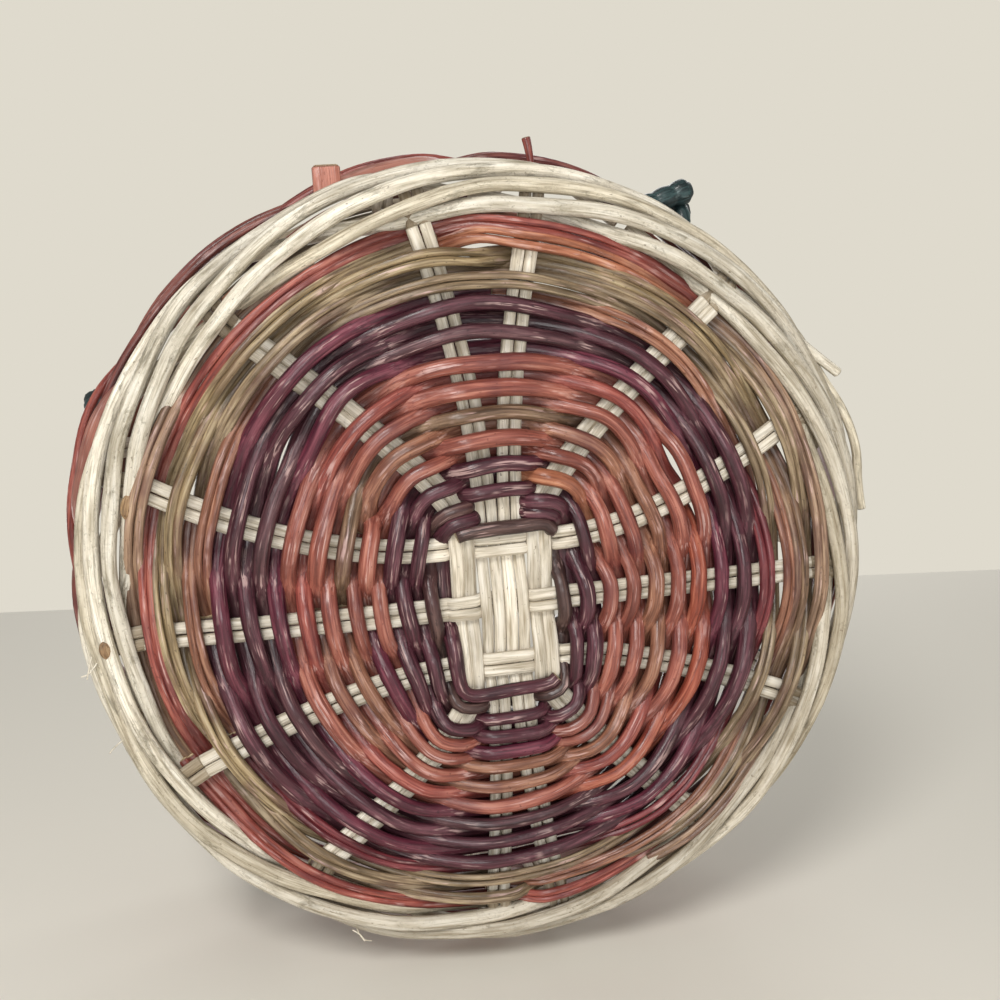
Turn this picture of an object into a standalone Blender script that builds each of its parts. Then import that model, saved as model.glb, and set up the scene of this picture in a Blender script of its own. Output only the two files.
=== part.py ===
"""Round onion basket, woven from willow rods and flat splints.

Metres, +Z up. The origin is at the bottom centre, on the plane that the basket stands on.
The base is a cross of interlaced sticks with two chasing weavers, the wall is built on
pairs of side stakes, and the opening is at the top.
"""
import bpy
import bmesh
from math import atan2, ceil, cos, floor, pi, radians, sin
from mathutils import Vector

TURN = 2.0 * pi
SHARPEST_SMOOTH_EDGE = radians(50.0)

# Fits
CLEARANCE = 0.0003
ROW_GAP = 0.0005
CROSSING_MARGIN = 0.0008
END_GAP = 0.0010

# Foot wale, the white ring round the base
FOOT_RADIUS = 0.1400
WALE_ROD = 0.0050
WALE_SIDES = 6
RING_STATIONS = 32
WALE_STEP_ANGLES = (radians(0.0), radians(28.0), radians(80.0), radians(72.0))
WALE_OUTERMOST_STEPS = 2

# Base sticks and their cross
STICK_WIDTH = 0.0042
STICK_THICKNESS = 0.0030
STICK_SIDES = 6
CROSS_X = -0.0050
CROSS_Y = -0.0138
CROSS_TURN = radians(-4.0)
SIDE_STRIP_OFFSET = 0.0150
BAR_OFFSET = 0.0220
BASE_CROWN = 0.0050
SPOKE_POINTS = 4
SPOKE_SAMPLES = 16
# How far out of the middle of the cross a spoke is taken to start where the rows meet it
SPOKE_ROOT_SHARE = 0.5

# Each pair of sticks: end angle of the spoke at its + end and at its - end, and how far the
# spoke runs straight on from the cross before it turns, as a share of its own length.
UPRIGHT_ENDS = (
    (radians(44.0), radians(300.0)),
    (radians(78.0), radians(269.0)),
    (radians(96.0), radians(259.0)),
    (radians(130.0), radians(232.0)),
)
UPRIGHT_STRAIGHT_SHARES = ((0.15, 0.20), (0.45, 0.45), (0.45, 0.45), (0.15, 0.12))
BAR_ENDS = (
    (radians(15.0), radians(155.0)),
    (radians(351.0), radians(182.0)),
    (radians(327.0), radians(205.0)),
)
BAR_STRAIGHT_SHARES = ((0.45, 0.40), (0.45, 0.45), (0.35, 0.35))

# Base weavers
ROWS = 24
GROUP_ROWS = 21
ROWS_PER_TURN = 2
HEART_WIDTH = 0.0450
HEART_LENGTH = 0.0630
HEART_SQUARENESS = 9.0
HEART_ROWS = 6
WEAVER_THICKNESS = 0.0030
WEAVE_START = radians(-118.0)
# How far a weaver stays flat beside a spoke, as a share of the way to the next one
FLAT_SHARE = 0.25
MEETING_STEPS = 6
HALF_ROW = 0.5

# Wall: the middle of the side stakes
STAKE_THICKNESS = 0.0030
STAKE_BEND = 0.0050
BEND_SHARES = (0.35, 0.70)
BELLY_RADIUS = 0.1450
BELLY_HEIGHT = 0.0500
RIM_RADIUS = 0.1360
STAKE_TOP = 0.1200
FLARE_POWER = 1.8
FLARE_SLACK = 0.0007
STAKE_POINTS = 8
STAKE_SPACING_POWER = 1.5

# Wall rows
SPLINT_HEIGHT = 0.0090
SPLINT_THICKNESS = 0.0016
WALL_ROD = 0.0040
WALL_TURNS = 3
BEND_SLACK = 0.0002
UPPER_ROD = 0.0042
RIM_GAP = 0.0016
RIM_ROD = 0.0045

# Lug loops
LUG_ANGLES = (radians(21.0), radians(122.0), radians(206.0), radians(300.0))
LUG_REACH = 0.0170
LUG_REACH_SHARES = (0.65, 1.00, 0.85, 0.85)
LUG_ROD = 0.0070
LUG_TWISTS = 2.5
LUG_SECTIONS = 15
# How far a curve with two equal handles swings out, as a share of a handle
BEZIER_REACH_SHARE = 0.75
# Half of the outline of two rods side by side, in rod diameters
LUG_OUTLINE_SHARES = ((0.95, 0.0), (0.60, 0.48), (0.0, 0.28), (-0.60, 0.48))

# Loose ends
TAB_ANGLE = radians(67.8)
TAB_WIDTH = 0.0090
TAB_LENGTH = 0.0085
TAB_LEAN = 0.0028
TAB_RISE = 0.0012
ROD_END_ANGLE = radians(96.2)
ROD_END_DIAMETER = 0.0024
ROD_END_LENGTH = 0.0120
ROD_END_BEND = 0.0012
LOOSE_END_SECTIONS = 4
LOOSE_END_ROOM = 0.0010

# Sizes that follow from the ones above
STICK_STEP = STICK_WIDTH + CLEARANCE
PAIR_HALF_WIDTH = STICK_WIDTH + CLEARANCE / 2.0
STAKE_WIDTH = 2.0 * PAIR_HALF_WIDTH
WALE_STEP = WALE_ROD + CLEARANCE
WALE_FLAT = WALE_ROD / 2.0 * cos(pi / WALE_SIDES)
BASE_PLANE = WALE_FLAT + WALE_ROD / 2.0 + CLEARANCE + STICK_THICKNESS / 2.0
CROSS = Vector((CROSS_X, CROSS_Y))
INTERLACE = (STICK_THICKNESS + CLEARANCE) / 2.0
WEAVE_LIFT = (STICK_THICKNESS + WEAVER_THICKNESS) / 2.0 + CLEARANCE
STAKE_SEAT = STAKE_THICKNESS / 2.0 + CLEARANCE

SQUARE = ((-1.0, -1.0), (1.0, -1.0), (1.0, 1.0), (-1.0, 1.0))


def polygon(sides):
    """Unit outline with a flat at the bottom."""
    steps = [(k + 0.5) * TURN / sides - pi / 2.0 for k in range(sides)]
    return [(cos(a), sin(a)) for a in steps]


def polar(radius, angle, height):
    return Vector((radius * cos(angle), radius * sin(angle), height))


def outward(angle):
    return Vector((cos(angle), sin(angle), 0.0))


def wale_places():
    """Radius and height of the middle of each wale rod, from the inside outwards and up."""
    steps = [Vector((WALE_STEP * cos(a), WALE_STEP * sin(a))) for a in WALE_STEP_ANGLES]
    inner = FOOT_RADIUS - WALE_ROD / 2.0 - sum(s.x for s in steps[:WALE_OUTERMOST_STEPS])
    places = [Vector((inner, WALE_FLAT))]
    for step in steps:
        places.append(places[-1] + step)
    return places


WALE_PLACES = wale_places()
WEAVE_EDGE = WALE_PLACES[0].x - WALE_ROD / 2.0 - CLEARANCE
SPOKE_END = WEAVE_EDGE - STICK_STEP
WALE_TOP = WALE_PLACES[-1].y + WALE_ROD / 2.0
RING_SHARE = cos(pi / RING_STATIONS)
STAKE_FOOT_RADIUS = WALE_PLACES[-1].x * RING_SHARE - WALE_ROD / 2.0 - STAKE_SEAT - FLARE_SLACK
STAKE_BEND_RADIUS = WALE_PLACES[-2].x * RING_SHARE - WALE_ROD / 2.0 - STAKE_SEAT
STAKE_FOOT_HEIGHT = WALE_PLACES[-1].y


def material(name, colour, roughness):
    made = bpy.data.materials.new(name)
    made.use_nodes = True
    shader = made.node_tree.nodes["Principled BSDF"]
    shader.inputs["Base Color"].default_value = (*colour, 1.0)
    shader.inputs["Roughness"].default_value = roughness
    shader.inputs["Metallic"].default_value = 0.0
    return made


def loft(name, rings, finish, closed=False):
    """One closed solid through a list of outlines of equal length."""
    bm = bmesh.new()
    loops = [[bm.verts.new(point) for point in ring] for ring in rings]
    following = loops[1:] + loops[:1] if closed else loops[1:]
    for near, far in zip(loops, following):
        for i in range(len(near)):
            j = (i + 1) % len(near)
            bm.faces.new((near[i], near[j], far[j], far[i]))
    if not closed:
        bm.faces.new(loops[0])
        bm.faces.new(loops[-1])
    bmesh.ops.recalc_face_normals(bm, faces=bm.faces)
    mesh = bpy.data.meshes.new(name)
    bm.to_mesh(mesh)
    bm.free()
    mesh.shade_smooth()
    mesh.set_sharp_from_angle(angle=SHARPEST_SMOOTH_EDGE)
    mesh.materials.append(finish)
    made = bpy.data.objects.new(name, mesh)
    bpy.context.scene.collection.objects.link(made)
    return made


def outline(centre, across, along, shape):
    """Points of a section: shape in units of the two half-size vectors."""
    return [centre + across * x + along * y for x, y in shape]


# The cross and its spokes, in plan

def from_cross(x, y):
    """A place given along and across the turned cross."""
    turned = Vector((x * cos(CROSS_TURN) - y * sin(CROSS_TURN),
                     x * sin(CROSS_TURN) + y * cos(CROSS_TURN)))
    return CROSS + turned


def base_height(place):
    """Height of the middle plane of the base, which is crowned inside the ends of the spokes."""
    share = min(1.0, place.length / SPOKE_END)
    return BASE_PLANE + BASE_CROWN * (1.0 - share * share)


def spoke_point(start, ahead, angle, straight, t):
    """Point of a spoke that leaves the cross along ahead and ends at an angle of the rim."""
    end = Vector((SPOKE_END * cos(angle), SPOKE_END * sin(angle)))
    bend = start + ahead * (straight * (end - start).length)
    return start * (1.0 - t) ** 2 + bend * (2.0 * t * (1.0 - t)) + end * t ** 2


def strip_sides(strip, bar):
    """Which way an upright strip passes a bar: -1 below it, +1 above it."""
    return 1.0 if (strip + bar) % 2 else -1.0


def upright_strip(pair):
    """The 8 upright sticks lie in strips of 2, 4 and 2."""
    return (0, 1, 1, 2)[pair]


class StickPair:
    """Two sticks side by side, through the cross and out to two spokes."""

    def __init__(self, upright, index):
        self.upright = upright
        if upright:
            offsets = (SIDE_STRIP_OFFSET, STICK_STEP, -STICK_STEP, -SIDE_STRIP_OFFSET)
            self.offset = offsets[index]
            self.ends = UPRIGHT_ENDS[index]
            self.shares = UPRIGHT_STRAIGHT_SHARES[index]
            self.half_run = HEART_LENGTH / 2.0 - STICK_STEP / 2.0
            strip = upright_strip(index)
            self.crossings = [
                (place, PAIR_HALF_WIDTH, strip_sides(strip, bar))
                for bar, place in enumerate((BAR_OFFSET, 0.0, -BAR_OFFSET))]
        else:
            self.offset = (BAR_OFFSET, 0.0, -BAR_OFFSET)[index]
            self.ends = BAR_ENDS[index]
            self.shares = BAR_STRAIGHT_SHARES[index]
            self.half_run = HEART_WIDTH / 2.0 - STICK_STEP / 2.0
            strips = ((SIDE_STRIP_OFFSET, PAIR_HALF_WIDTH),
                      (0.0, PAIR_HALF_WIDTH + STICK_STEP),
                      (-SIDE_STRIP_OFFSET, PAIR_HALF_WIDTH))
            self.crossings = [
                (place, half, -strip_sides(strip, index))
                for strip, (place, half) in enumerate(strips)]

    def place(self, run, offset):
        """Plan place at a distance run along the pair, offset to its side."""
        if self.upright:
            return from_cross(offset, run)
        return from_cross(run, offset)

    def spoke(self, positive, count):
        """Middle line of one spoke, from the edge of the cross to the rim."""
        sign = 1.0 if positive else -1.0
        start = self.place(sign * self.half_run, self.offset)
        ahead = (start - self.place(0.0, self.offset)).normalized()
        angle = self.ends[0 if positive else 1]
        straight = self.shares[0 if positive else 1]
        return [spoke_point(start, ahead, angle, straight, i / count) for i in range(count + 1)]

    def middle_line(self):
        """Plan places and interlace of the whole pair, from its - end to its + end."""
        line = [(place, 0.0) for place in reversed(self.spoke(False, SPOKE_POINTS))]
        for run, half, side in reversed(self.crossings):
            reach = half + CLEARANCE
            line.append((self.place(run - reach, self.offset), side * INTERLACE))
            line.append((self.place(run + reach, self.offset), side * INTERLACE))
        line += [(place, 0.0) for place in self.spoke(True, SPOKE_POINTS)]
        return line


PAIRS = [StickPair(True, i) for i in range(4)] + [StickPair(False, i) for i in range(3)]


def spoke_table():
    """Every spoke as (end angle, polar places about the cross), in order round the rim."""
    table = []
    for pair in PAIRS:
        for positive in (True, False):
            line = pair.spoke(positive, SPOKE_SAMPLES)
            line.append(line[-1] * (FOOT_RADIUS / SPOKE_END))
            inner = pair.place(0.0, pair.offset)
            line.insert(0, inner + (line[0] - inner) * SPOKE_ROOT_SHARE)
            angle = pair.ends[0 if positive else 1]
            places = []
            for place in line:
                away = place - CROSS
                turn = atan2(away.y, away.x)
                turn += TURN * round((angle - turn) / TURN)
                places.append((away.length, turn))
            table.append((angle, places))
    return sorted(table)


SPOKES = spoke_table()
STAKE_ANGLES = [angle for angle, _ in SPOKES]
# The 4-stick strips are worked as one group in all but the outer rows
GROUPS = ((0,), (1,), (2, 3), (4,), (5,), (6,), (7,), (8,), (9, 10), (11,), (12,), (13,))
SINGLES = tuple((k,) for k in range(len(SPOKES)))


def spoke_turn(index, distance):
    """Angle about the cross at which a spoke is met at a distance from it."""
    places = SPOKES[index][1]
    for (near, turn), (far, next_turn) in zip(places, places[1:]):
        if distance <= far:
            share = max(0.0, (distance - near) / (far - near))
            return turn + (next_turn - turn) * share
    return places[-1][1]


# Base weave, in plan about the cross

def heart_distance(turn):
    """Distance from the cross to the first row, a rounded rectangle."""
    x = abs(cos(turn - CROSS_TURN)) / (HEART_WIDTH / 2.0)
    y = abs(sin(turn - CROSS_TURN)) / (HEART_LENGTH / 2.0)
    return (x ** HEART_SQUARENESS + y ** HEART_SQUARENESS) ** (-1.0 / HEART_SQUARENESS)


def edge_distance(turn):
    """Distance from the cross to the edge of the weave, a circle round the origin."""
    ahead = Vector((cos(turn), sin(turn)))
    along = CROSS.dot(ahead)
    return (WEAVE_EDGE ** 2 - CROSS.length_squared + along * along) ** 0.5 - along


def lane_distance(turn, row):
    """Distance from the cross to a row, counted from 0 at the heart."""
    heart = heart_distance(turn)
    return heart + (edge_distance(turn) - heart) * row / (ROWS + HALF_ROW)


def crossings(start, parity, first_turn, last_turn):
    """Where a weaver meets the spokes, as (first angle, last angle, distance, side)."""
    found = []
    for lap in range(floor(first_turn / TURN) - 2, ceil(last_turn / TURN) + 3):
        for grouped in (True, False):
            for number, group in enumerate(GROUPS if grouped else SINGLES):
                angles = []
                for index in (group[0], group[-1]):
                    turn = SPOKES[index][0] + lap * TURN
                    for _ in range(MEETING_STEPS):
                        row = ROWS_PER_TURN * (turn - start) / TURN
                        distance = lane_distance(turn, row)
                        turn = spoke_turn(index, distance) + lap * TURN
                    angles.append(turn)
                row = ROWS_PER_TURN * (sum(angles) / 2.0 - start) / TURN
                if (row < GROUP_ROWS) == grouped:
                    side = 1.0 if (number + parity) % 2 else -1.0
                    found.append((angles[0], angles[1], distance, side))
    return sorted(found)


def weaver_stations(start, parity, first, last):
    """Angles and sides of a weaver, flat where it passes a spoke, from before first to past last."""
    met = crossings(start, parity, first, last)
    stations = []
    for before, here, after in zip(met, met[1:], met[2:]):
        low, high, distance, side = here
        reach = (PAIR_HALF_WIDTH + CROSSING_MARGIN) / distance
        stations.append((low - max(reach, (low - before[1]) * FLAT_SHARE), side))
        stations.append((high + max(reach, (after[0] - high) * FLAT_SHARE), side))
    return with_corners(stations, start)


def with_corners(stations, start):
    """The stations, and the corners of the heart in the rows next to it."""
    corner = atan2(HEART_LENGTH, HEART_WIDTH)
    added = []
    for (turn, side), (next_turn, next_side) in zip(stations, stations[1:]):
        for lap in range(floor(turn / pi) - 1, ceil(next_turn / pi) + 2):
            for place in (lap * pi + corner + CROSS_TURN, lap * pi - corner + CROSS_TURN):
                row = ROWS_PER_TURN * (place - start) / TURN
                if turn < place < next_turn and row < HEART_ROWS:
                    share = (place - turn) / (next_turn - turn)
                    added.append((place, side + (next_side - side) * share))
    return sorted(stations + added)


def weaver_section(start, turn, side):
    """Section of a base weaver between its neighbouring rows."""
    row = ROWS_PER_TURN * (turn - start) / TURN
    inner = lane_distance(turn, row - HALF_ROW) + ROW_GAP / 2.0
    outer = lane_distance(turn, row + HALF_ROW) - ROW_GAP / 2.0
    ahead = Vector((cos(turn), sin(turn)))
    place = CROSS + ahead * ((inner + outer) / 2.0)
    centre = Vector((place.x, place.y, base_height(place) + side * WEAVE_LIFT))
    across = Vector((ahead.x, ahead.y, 0.0)) * ((outer - inner) / 2.0)
    up = Vector((0.0, 0.0, WEAVER_THICKNESS / 2.0))
    return outline(centre, across, up, SQUARE)


def cut_to_length(turns, rings, first, last):
    """The rings between two angles, with an end ring on the straight line at each."""
    kept = []
    for turn, next_turn, ring, next_ring in zip(turns, turns[1:], rings, rings[1:]):
        for limit in (first, last):
            if turn < limit <= next_turn:
                share = (limit - turn) / (next_turn - turn)
                kept.append([p + (q - p) * share for p, q in zip(ring, next_ring)])
        if first < next_turn < last:
            kept.append(next_ring)
    return kept


def base_weaver(name, start, parity, first_row, last_row, finish):
    """One length of weaver, between two rows."""
    first = start + first_row * TURN / ROWS_PER_TURN
    last = start + last_row * TURN / ROWS_PER_TURN
    trim = END_GAP / 2.0 / lane_distance(first, first_row)
    stations = weaver_stations(start, parity, first, last)
    turns = [turn for turn, _ in stations]
    rings = [weaver_section(start, turn, side) for turn, side in stations]
    return loft(name, cut_to_length(turns, rings, first + trim, last - trim), finish)


def base_weave(finishes):
    """Two chasing weavers, which pass each spoke on opposite sides, each pieced from rods of
    the colours of the bands."""
    first_weaver = (("heart", 0, 3, "dark_purple"), ("mixed", 3, 9, "purple"),
                    ("terracotta", 9, 14, "terracotta"), ("purple", 14, 17, "purple"),
                    ("amber", 17, 19, "amber"), ("olive", 19, 22, "olive"),
                    ("red", 22, ROWS, "red"))
    second_weaver = (("heart", 0, 3, "dark_purple"), ("mixed", 3, 6, "amber"),
                     ("terracotta", 6, 13, "terracotta"), ("purple", 13, 19, "purple"),
                     ("olive", 19, ROWS, "olive"))
    for letter, parity, start, lengths in (("a", 0, WEAVE_START, first_weaver),
                                           ("b", 1, WEAVE_START + pi, second_weaver)):
        for band, first_row, last_row, finish in lengths:
            name = "base_weaver_%s_%s" % (letter, band)
            base_weaver(name, start, parity, first_row, last_row, finishes[finish])


def base_sticks(finish):
    number = 0
    for pair in PAIRS:
        line = pair.middle_line()
        places = [place for place, _ in line]
        for side in (1.0, -1.0):
            rings = []
            for i, (place, lift) in enumerate(line):
                ahead = (places[min(i + 1, len(places) - 1)] - places[max(i - 1, 0)]).normalized()
                if i in (0, len(places) - 1):
                    ahead = place.normalized() * (1.0 if i else -1.0)
                sideways = Vector((-ahead.y, ahead.x, 0.0))
                centre = Vector((place.x, place.y, base_height(place) + lift))
                centre += sideways * (side * STICK_STEP / 2.0)
                up = Vector((0.0, 0.0, STICK_THICKNESS / 2.0))
                rings.append(outline(centre, sideways * (STICK_WIDTH / 2.0), up,
                                     polygon(STICK_SIDES)))
            number += 1
            loft("base_stick_%02d" % number, rings, finish)


def foot_wale(finish):
    for number, place in enumerate(WALE_PLACES):
        rings = []
        for k in range(RING_STATIONS):
            angle = k * TURN / RING_STATIONS
            centre = polar(place.x, angle, place.y)
            up = Vector((0.0, 0.0, WALE_ROD / 2.0))
            rings.append(outline(centre, outward(angle) * (WALE_ROD / 2.0), up,
                                 polygon(WALE_SIDES)))
        loft("foot_wale_rod_%d" % (number + 1), rings, finish, closed=True)


# The wall, as a profile of the side stakes in radius and height

def wall_radius(height):
    """Radius of the middle of the stakes above the wale."""
    if height < BELLY_HEIGHT:
        share = (BELLY_HEIGHT - height) / (BELLY_HEIGHT - STAKE_FOOT_HEIGHT)
        return BELLY_RADIUS - (BELLY_RADIUS - STAKE_FOOT_RADIUS) * share ** FLARE_POWER
    share = (height - BELLY_HEIGHT) / (STAKE_TOP - BELLY_HEIGHT)
    return BELLY_RADIUS - (BELLY_RADIUS - RIM_RADIUS) * share ** 2


def wall_place(height):
    return Vector((wall_radius(height), height))


def wall_along(height):
    """Direction of the wall upwards, in radius and height."""
    reach = WALL_ROD / 2.0
    low = max(height - reach, STAKE_FOOT_HEIGHT)
    return (wall_place(height + reach) - wall_place(low)).normalized()


def height_above(height, distance):
    """Height reached by going a distance up along the wall."""
    return height + distance * wall_along(height + distance / 2.0).y


def side_stakes(finish):
    bend_radius = STAKE_BEND_RADIUS - STAKE_BEND
    middle = Vector((bend_radius, BASE_PLANE + STAKE_BEND))
    profile = [Vector((SPOKE_END + END_GAP, BASE_PLANE)), Vector((bend_radius, BASE_PLANE))]
    for share in BEND_SHARES:
        angle = share * pi / 2.0
        profile.append(middle + Vector((sin(angle), -cos(angle))) * STAKE_BEND)
    for k in range(STAKE_POINTS):
        share = (k / (STAKE_POINTS - 1)) ** STAKE_SPACING_POWER
        profile.append(wall_place(STAKE_FOOT_HEIGHT + (STAKE_TOP - STAKE_FOOT_HEIGHT) * share))
    for number, angle in enumerate(STAKE_ANGLES):
        rings = []
        for i, place in enumerate(profile):
            ahead = profile[min(i + 1, len(profile) - 1)] - profile[max(i - 1, 0)]
            ahead.normalize()
            centre = polar(place.x, angle, place.y)
            inward = polar(-ahead.y, angle, ahead.x) * (STAKE_THICKNESS / 2.0)
            sideways = Vector((-sin(angle), cos(angle), 0.0)) * (STAKE_WIDTH / 2.0)
            rings.append(outline(centre, sideways, inward, SQUARE))
        loft("side_stake_%02d" % (number + 1), rings, finish)


def ring_stations(parity, first_turn, last_turn):
    """Angles and sides (+1 outside the stakes) of a row that weaves round the wall."""
    reach = (STAKE_WIDTH / 2.0 + CROSSING_MARGIN) / BELLY_RADIUS
    stations = []
    for lap in range(floor(first_turn / TURN) - 1, ceil(last_turn / TURN) + 2):
        for number, angle in enumerate(STAKE_ANGLES):
            side = 1.0 if (number + parity) % 2 else -1.0
            after = (STAKE_ANGLES + [STAKE_ANGLES[0] + TURN])[number + 1]
            turn = angle + lap * TURN
            stations.append((turn - reach, side))
            stations.append((turn + reach, side))
            stations.append(((turn + after + lap * TURN) / 2.0, 0.0))
    return [(turn, side) for turn, side in sorted(stations) if first_turn <= turn < last_turn]


def wall_section(turn, height, offset, tall, thick, shape):
    """Section of a wall row, set off outwards from the middle of the stakes."""
    place = wall_place(height)
    along = wall_along(height)
    normal = polar(along.y, turn, -along.x)
    upward = polar(along.x, turn, along.y)
    centre = polar(place.x, turn, place.y) + normal * offset
    return outline(centre, normal * (thick / 2.0), upward * (tall / 2.0), shape)


def wall_row(name, height, tall, thick, parity, finish):
    """A closed row at one height."""
    lift = STAKE_SEAT + BEND_SLACK + thick / 2.0
    rings = [wall_section(turn, height, side * lift, tall, thick, SQUARE)
             for turn, side in ring_stations(parity, 0.0, TURN)]
    return loft(name, rings, finish, closed=True)


def wall_weavers(bottom, finish):
    """Two chasing rods that climb the wall; gives back the height that they reach."""
    lift = STAKE_SEAT + BEND_SLACK + WALL_ROD / 2.0
    pitch = WALL_ROD + ROW_GAP
    for letter, parity, start in (("a", 0, 0.0), ("b", 1, pi)):
        rings = []
        for turn, side in ring_stations(parity, start, start + WALL_TURNS * TURN):
            climb = ROWS_PER_TURN * pitch * (turn - start) / TURN
            height = height_above(bottom, climb)
            rings.append(wall_section(turn, height, side * lift, WALL_ROD, WALL_ROD, SQUARE))
        loft("wall_weaver_%s" % letter, rings, finish)
    return height_above(bottom, ROWS_PER_TURN * pitch * WALL_TURNS)


def rim_rod(name, radius, height, finish):
    rings = []
    for k in range(RING_STATIONS):
        angle = k * TURN / RING_STATIONS
        up = Vector((0.0, 0.0, RIM_ROD / 2.0))
        rings.append(outline(polar(radius, angle, height), outward(angle) * (RIM_ROD / 2.0), up,
                             polygon(WALE_SIDES)))
    return loft(name, rings, finish, closed=True)


def rim(finish):
    """Two rods hold the stake tops between them and a third lies over them."""
    seat = STAKE_SEAT + RIM_ROD / 2.0
    step = RIM_ROD + CLEARANCE
    top = STAKE_TOP + CLEARANCE + RIM_ROD / 2.0
    drop = (step * step - seat * seat) ** 0.5
    rim_rod("rim_rod_inner", RIM_RADIUS - seat, top - drop, finish)
    rim_rod("rim_rod_outer", (RIM_RADIUS + seat) / RING_SHARE, top - drop, finish)
    rim_rod("rim_rod_top", RIM_RADIUS, top, finish)
    return top - drop - RIM_ROD / 2.0


def row_reach(angle, height, thick):
    """How far the outermost rows stand off the middle of the stakes near an angle."""
    stations = ring_stations(0, -TURN, 2.0 * TURN)
    spread = LUG_ROD / 2.0 / BELLY_RADIUS
    middle = wall_radius(height)
    lift = STAKE_SEAT + BEND_SLACK + thick / 2.0
    furthest = 0.0
    for look in (angle - spread, angle, angle + spread):
        for (turn, side), (next_turn, next_side) in zip(stations, stations[1:]):
            for sense in (1.0, -1.0):
                if turn <= look < next_turn:
                    near = middle + sense * side * lift
                    far = middle + sense * next_side * lift
                    straight = near * far * sin(next_turn - turn) / (
                        near * sin(look - turn) + far * sin(next_turn - look))
                    furthest = max(furthest, straight + thick / 2.0 - middle)
    return furthest


def lug_outline():
    half = [(x, y) for x, y in LUG_OUTLINE_SHARES]
    return half + [(-x, -y) for x, y in half]


def lug_loops(low_seat, high_seat, finish):
    """Standing loops of two twisted rods. A seat is (height, rod thickness) of the rows there."""
    for number, (angle, share) in enumerate(zip(LUG_ANGLES, LUG_REACH_SHARES)):
        ends = []
        for height, thick in (low_seat, high_seat):
            along = wall_along(height)
            normal = Vector((along.y, -along.x))
            offset = row_reach(angle, height, thick) + CLEARANCE
            ends.append((wall_place(height) + normal * offset, normal))
        (low, low_normal), (high, high_normal) = ends
        handle = LUG_REACH * share / BEZIER_REACH_SHARE
        points = (low, low + low_normal * handle, high + high_normal * handle, high)
        rings = []
        for k in range(LUG_SECTIONS):
            t = k / (LUG_SECTIONS - 1)
            weights = ((1 - t) ** 3, 3 * t * (1 - t) ** 2, 3 * t * t * (1 - t), t ** 3)
            slopes = (-(1 - t) ** 2, (1 - t) ** 2 - 2 * t * (1 - t), 2 * t * (1 - t) - t * t,
                      t * t)
            place = sum((p * w for p, w in zip(points, weights)), Vector((0.0, 0.0)))
            ahead = sum((p * w for p, w in zip(points, slopes)), Vector((0.0, 0.0))).normalized()
            sideways = Vector((-sin(angle), cos(angle), 0.0))
            across = polar(ahead.y, angle, -ahead.x)
            twist = pi / 2.0 + t * LUG_TWISTS * TURN
            one = (sideways * cos(twist) + across * sin(twist)) * LUG_ROD
            two = (across * cos(twist) - sideways * sin(twist)) * LUG_ROD
            rings.append(outline(polar(place.x, angle, place.y), one, two, lug_outline()))
        loft("lug_loop_%d" % (number + 1), rings, finish)


def loose_ends(tab_finish, rod_finish):
    """A flat splint end and a thin rod end, which stick out above the wale."""
    wall = max(wall_radius(WALE_TOP), wall_radius(WALE_TOP + ROD_END_DIAMETER))
    inner = wall + STAKE_SEAT
    rings = []
    for k in range(LOOSE_END_SECTIONS):
        share = k / (LOOSE_END_SECTIONS - 1)
        rise = TAB_RISE * share * share
        centre = polar(inner + TAB_LENGTH * share, TAB_ANGLE + share * TAB_LEAN / inner,
                       WALE_TOP + CLEARANCE + SPLINT_THICKNESS / 2.0 + rise)
        sideways = Vector((-sin(TAB_ANGLE), cos(TAB_ANGLE), 0.0)) * (TAB_WIDTH / 2.0)
        rings.append(outline(centre, sideways, Vector((0.0, 0.0, SPLINT_THICKNESS / 2.0)), SQUARE))
    loft("splint_end_tab", rings, tab_finish)
    rings = []
    for k in range(LOOSE_END_SECTIONS):
        share = k / (LOOSE_END_SECTIONS - 1)
        angle = ROD_END_ANGLE - share * share * ROD_END_BEND / inner
        centre = polar(inner + ROD_END_LENGTH * share, angle,
                       WALE_TOP + CLEARANCE + ROD_END_DIAMETER / 2.0)
        sideways = Vector((-sin(angle), cos(angle), 0.0)) * (ROD_END_DIAMETER / 2.0)
        rings.append(outline(centre, sideways, Vector((0.0, 0.0, ROD_END_DIAMETER / 2.0)),
                             polygon(WALE_SIDES)))
    loft("loose_rod_end", rings, rod_finish)


def wall(finishes):
    start = WALE_TOP + ROD_END_DIAMETER + 2.0 * CLEARANCE + LOOSE_END_ROOM
    lower_band = height_above(start, SPLINT_HEIGHT / 2.0)
    wall_row("splint_band_lower", lower_band, SPLINT_HEIGHT, SPLINT_THICKNESS, 1,
             finishes["terracotta"])
    first = height_above(lower_band, SPLINT_HEIGHT / 2.0 + ROW_GAP + WALL_ROD / 2.0)
    last = wall_weavers(first, finishes["maroon"])
    upper_band = height_above(last, WALL_ROD / 2.0 + ROW_GAP + SPLINT_HEIGHT / 2.0)
    wall_row("splint_band_upper", upper_band, SPLINT_HEIGHT, SPLINT_THICKNESS, 0,
             finishes["terracotta"])
    under_rim = rim(finishes["peeled"])
    top_rod = under_rim - RIM_GAP - UPPER_ROD / 2.0
    low_rod = height_above(top_rod, -UPPER_ROD - ROW_GAP)
    wall_row("upper_rod_high", top_rod, UPPER_ROD, UPPER_ROD, 0, finishes["purple"])
    wall_row("upper_rod_low", low_rod, UPPER_ROD, UPPER_ROD, 1, finishes["amber"])
    lug_loops((upper_band, WALL_ROD), (low_rod, UPPER_ROD), finishes["green"])


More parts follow.
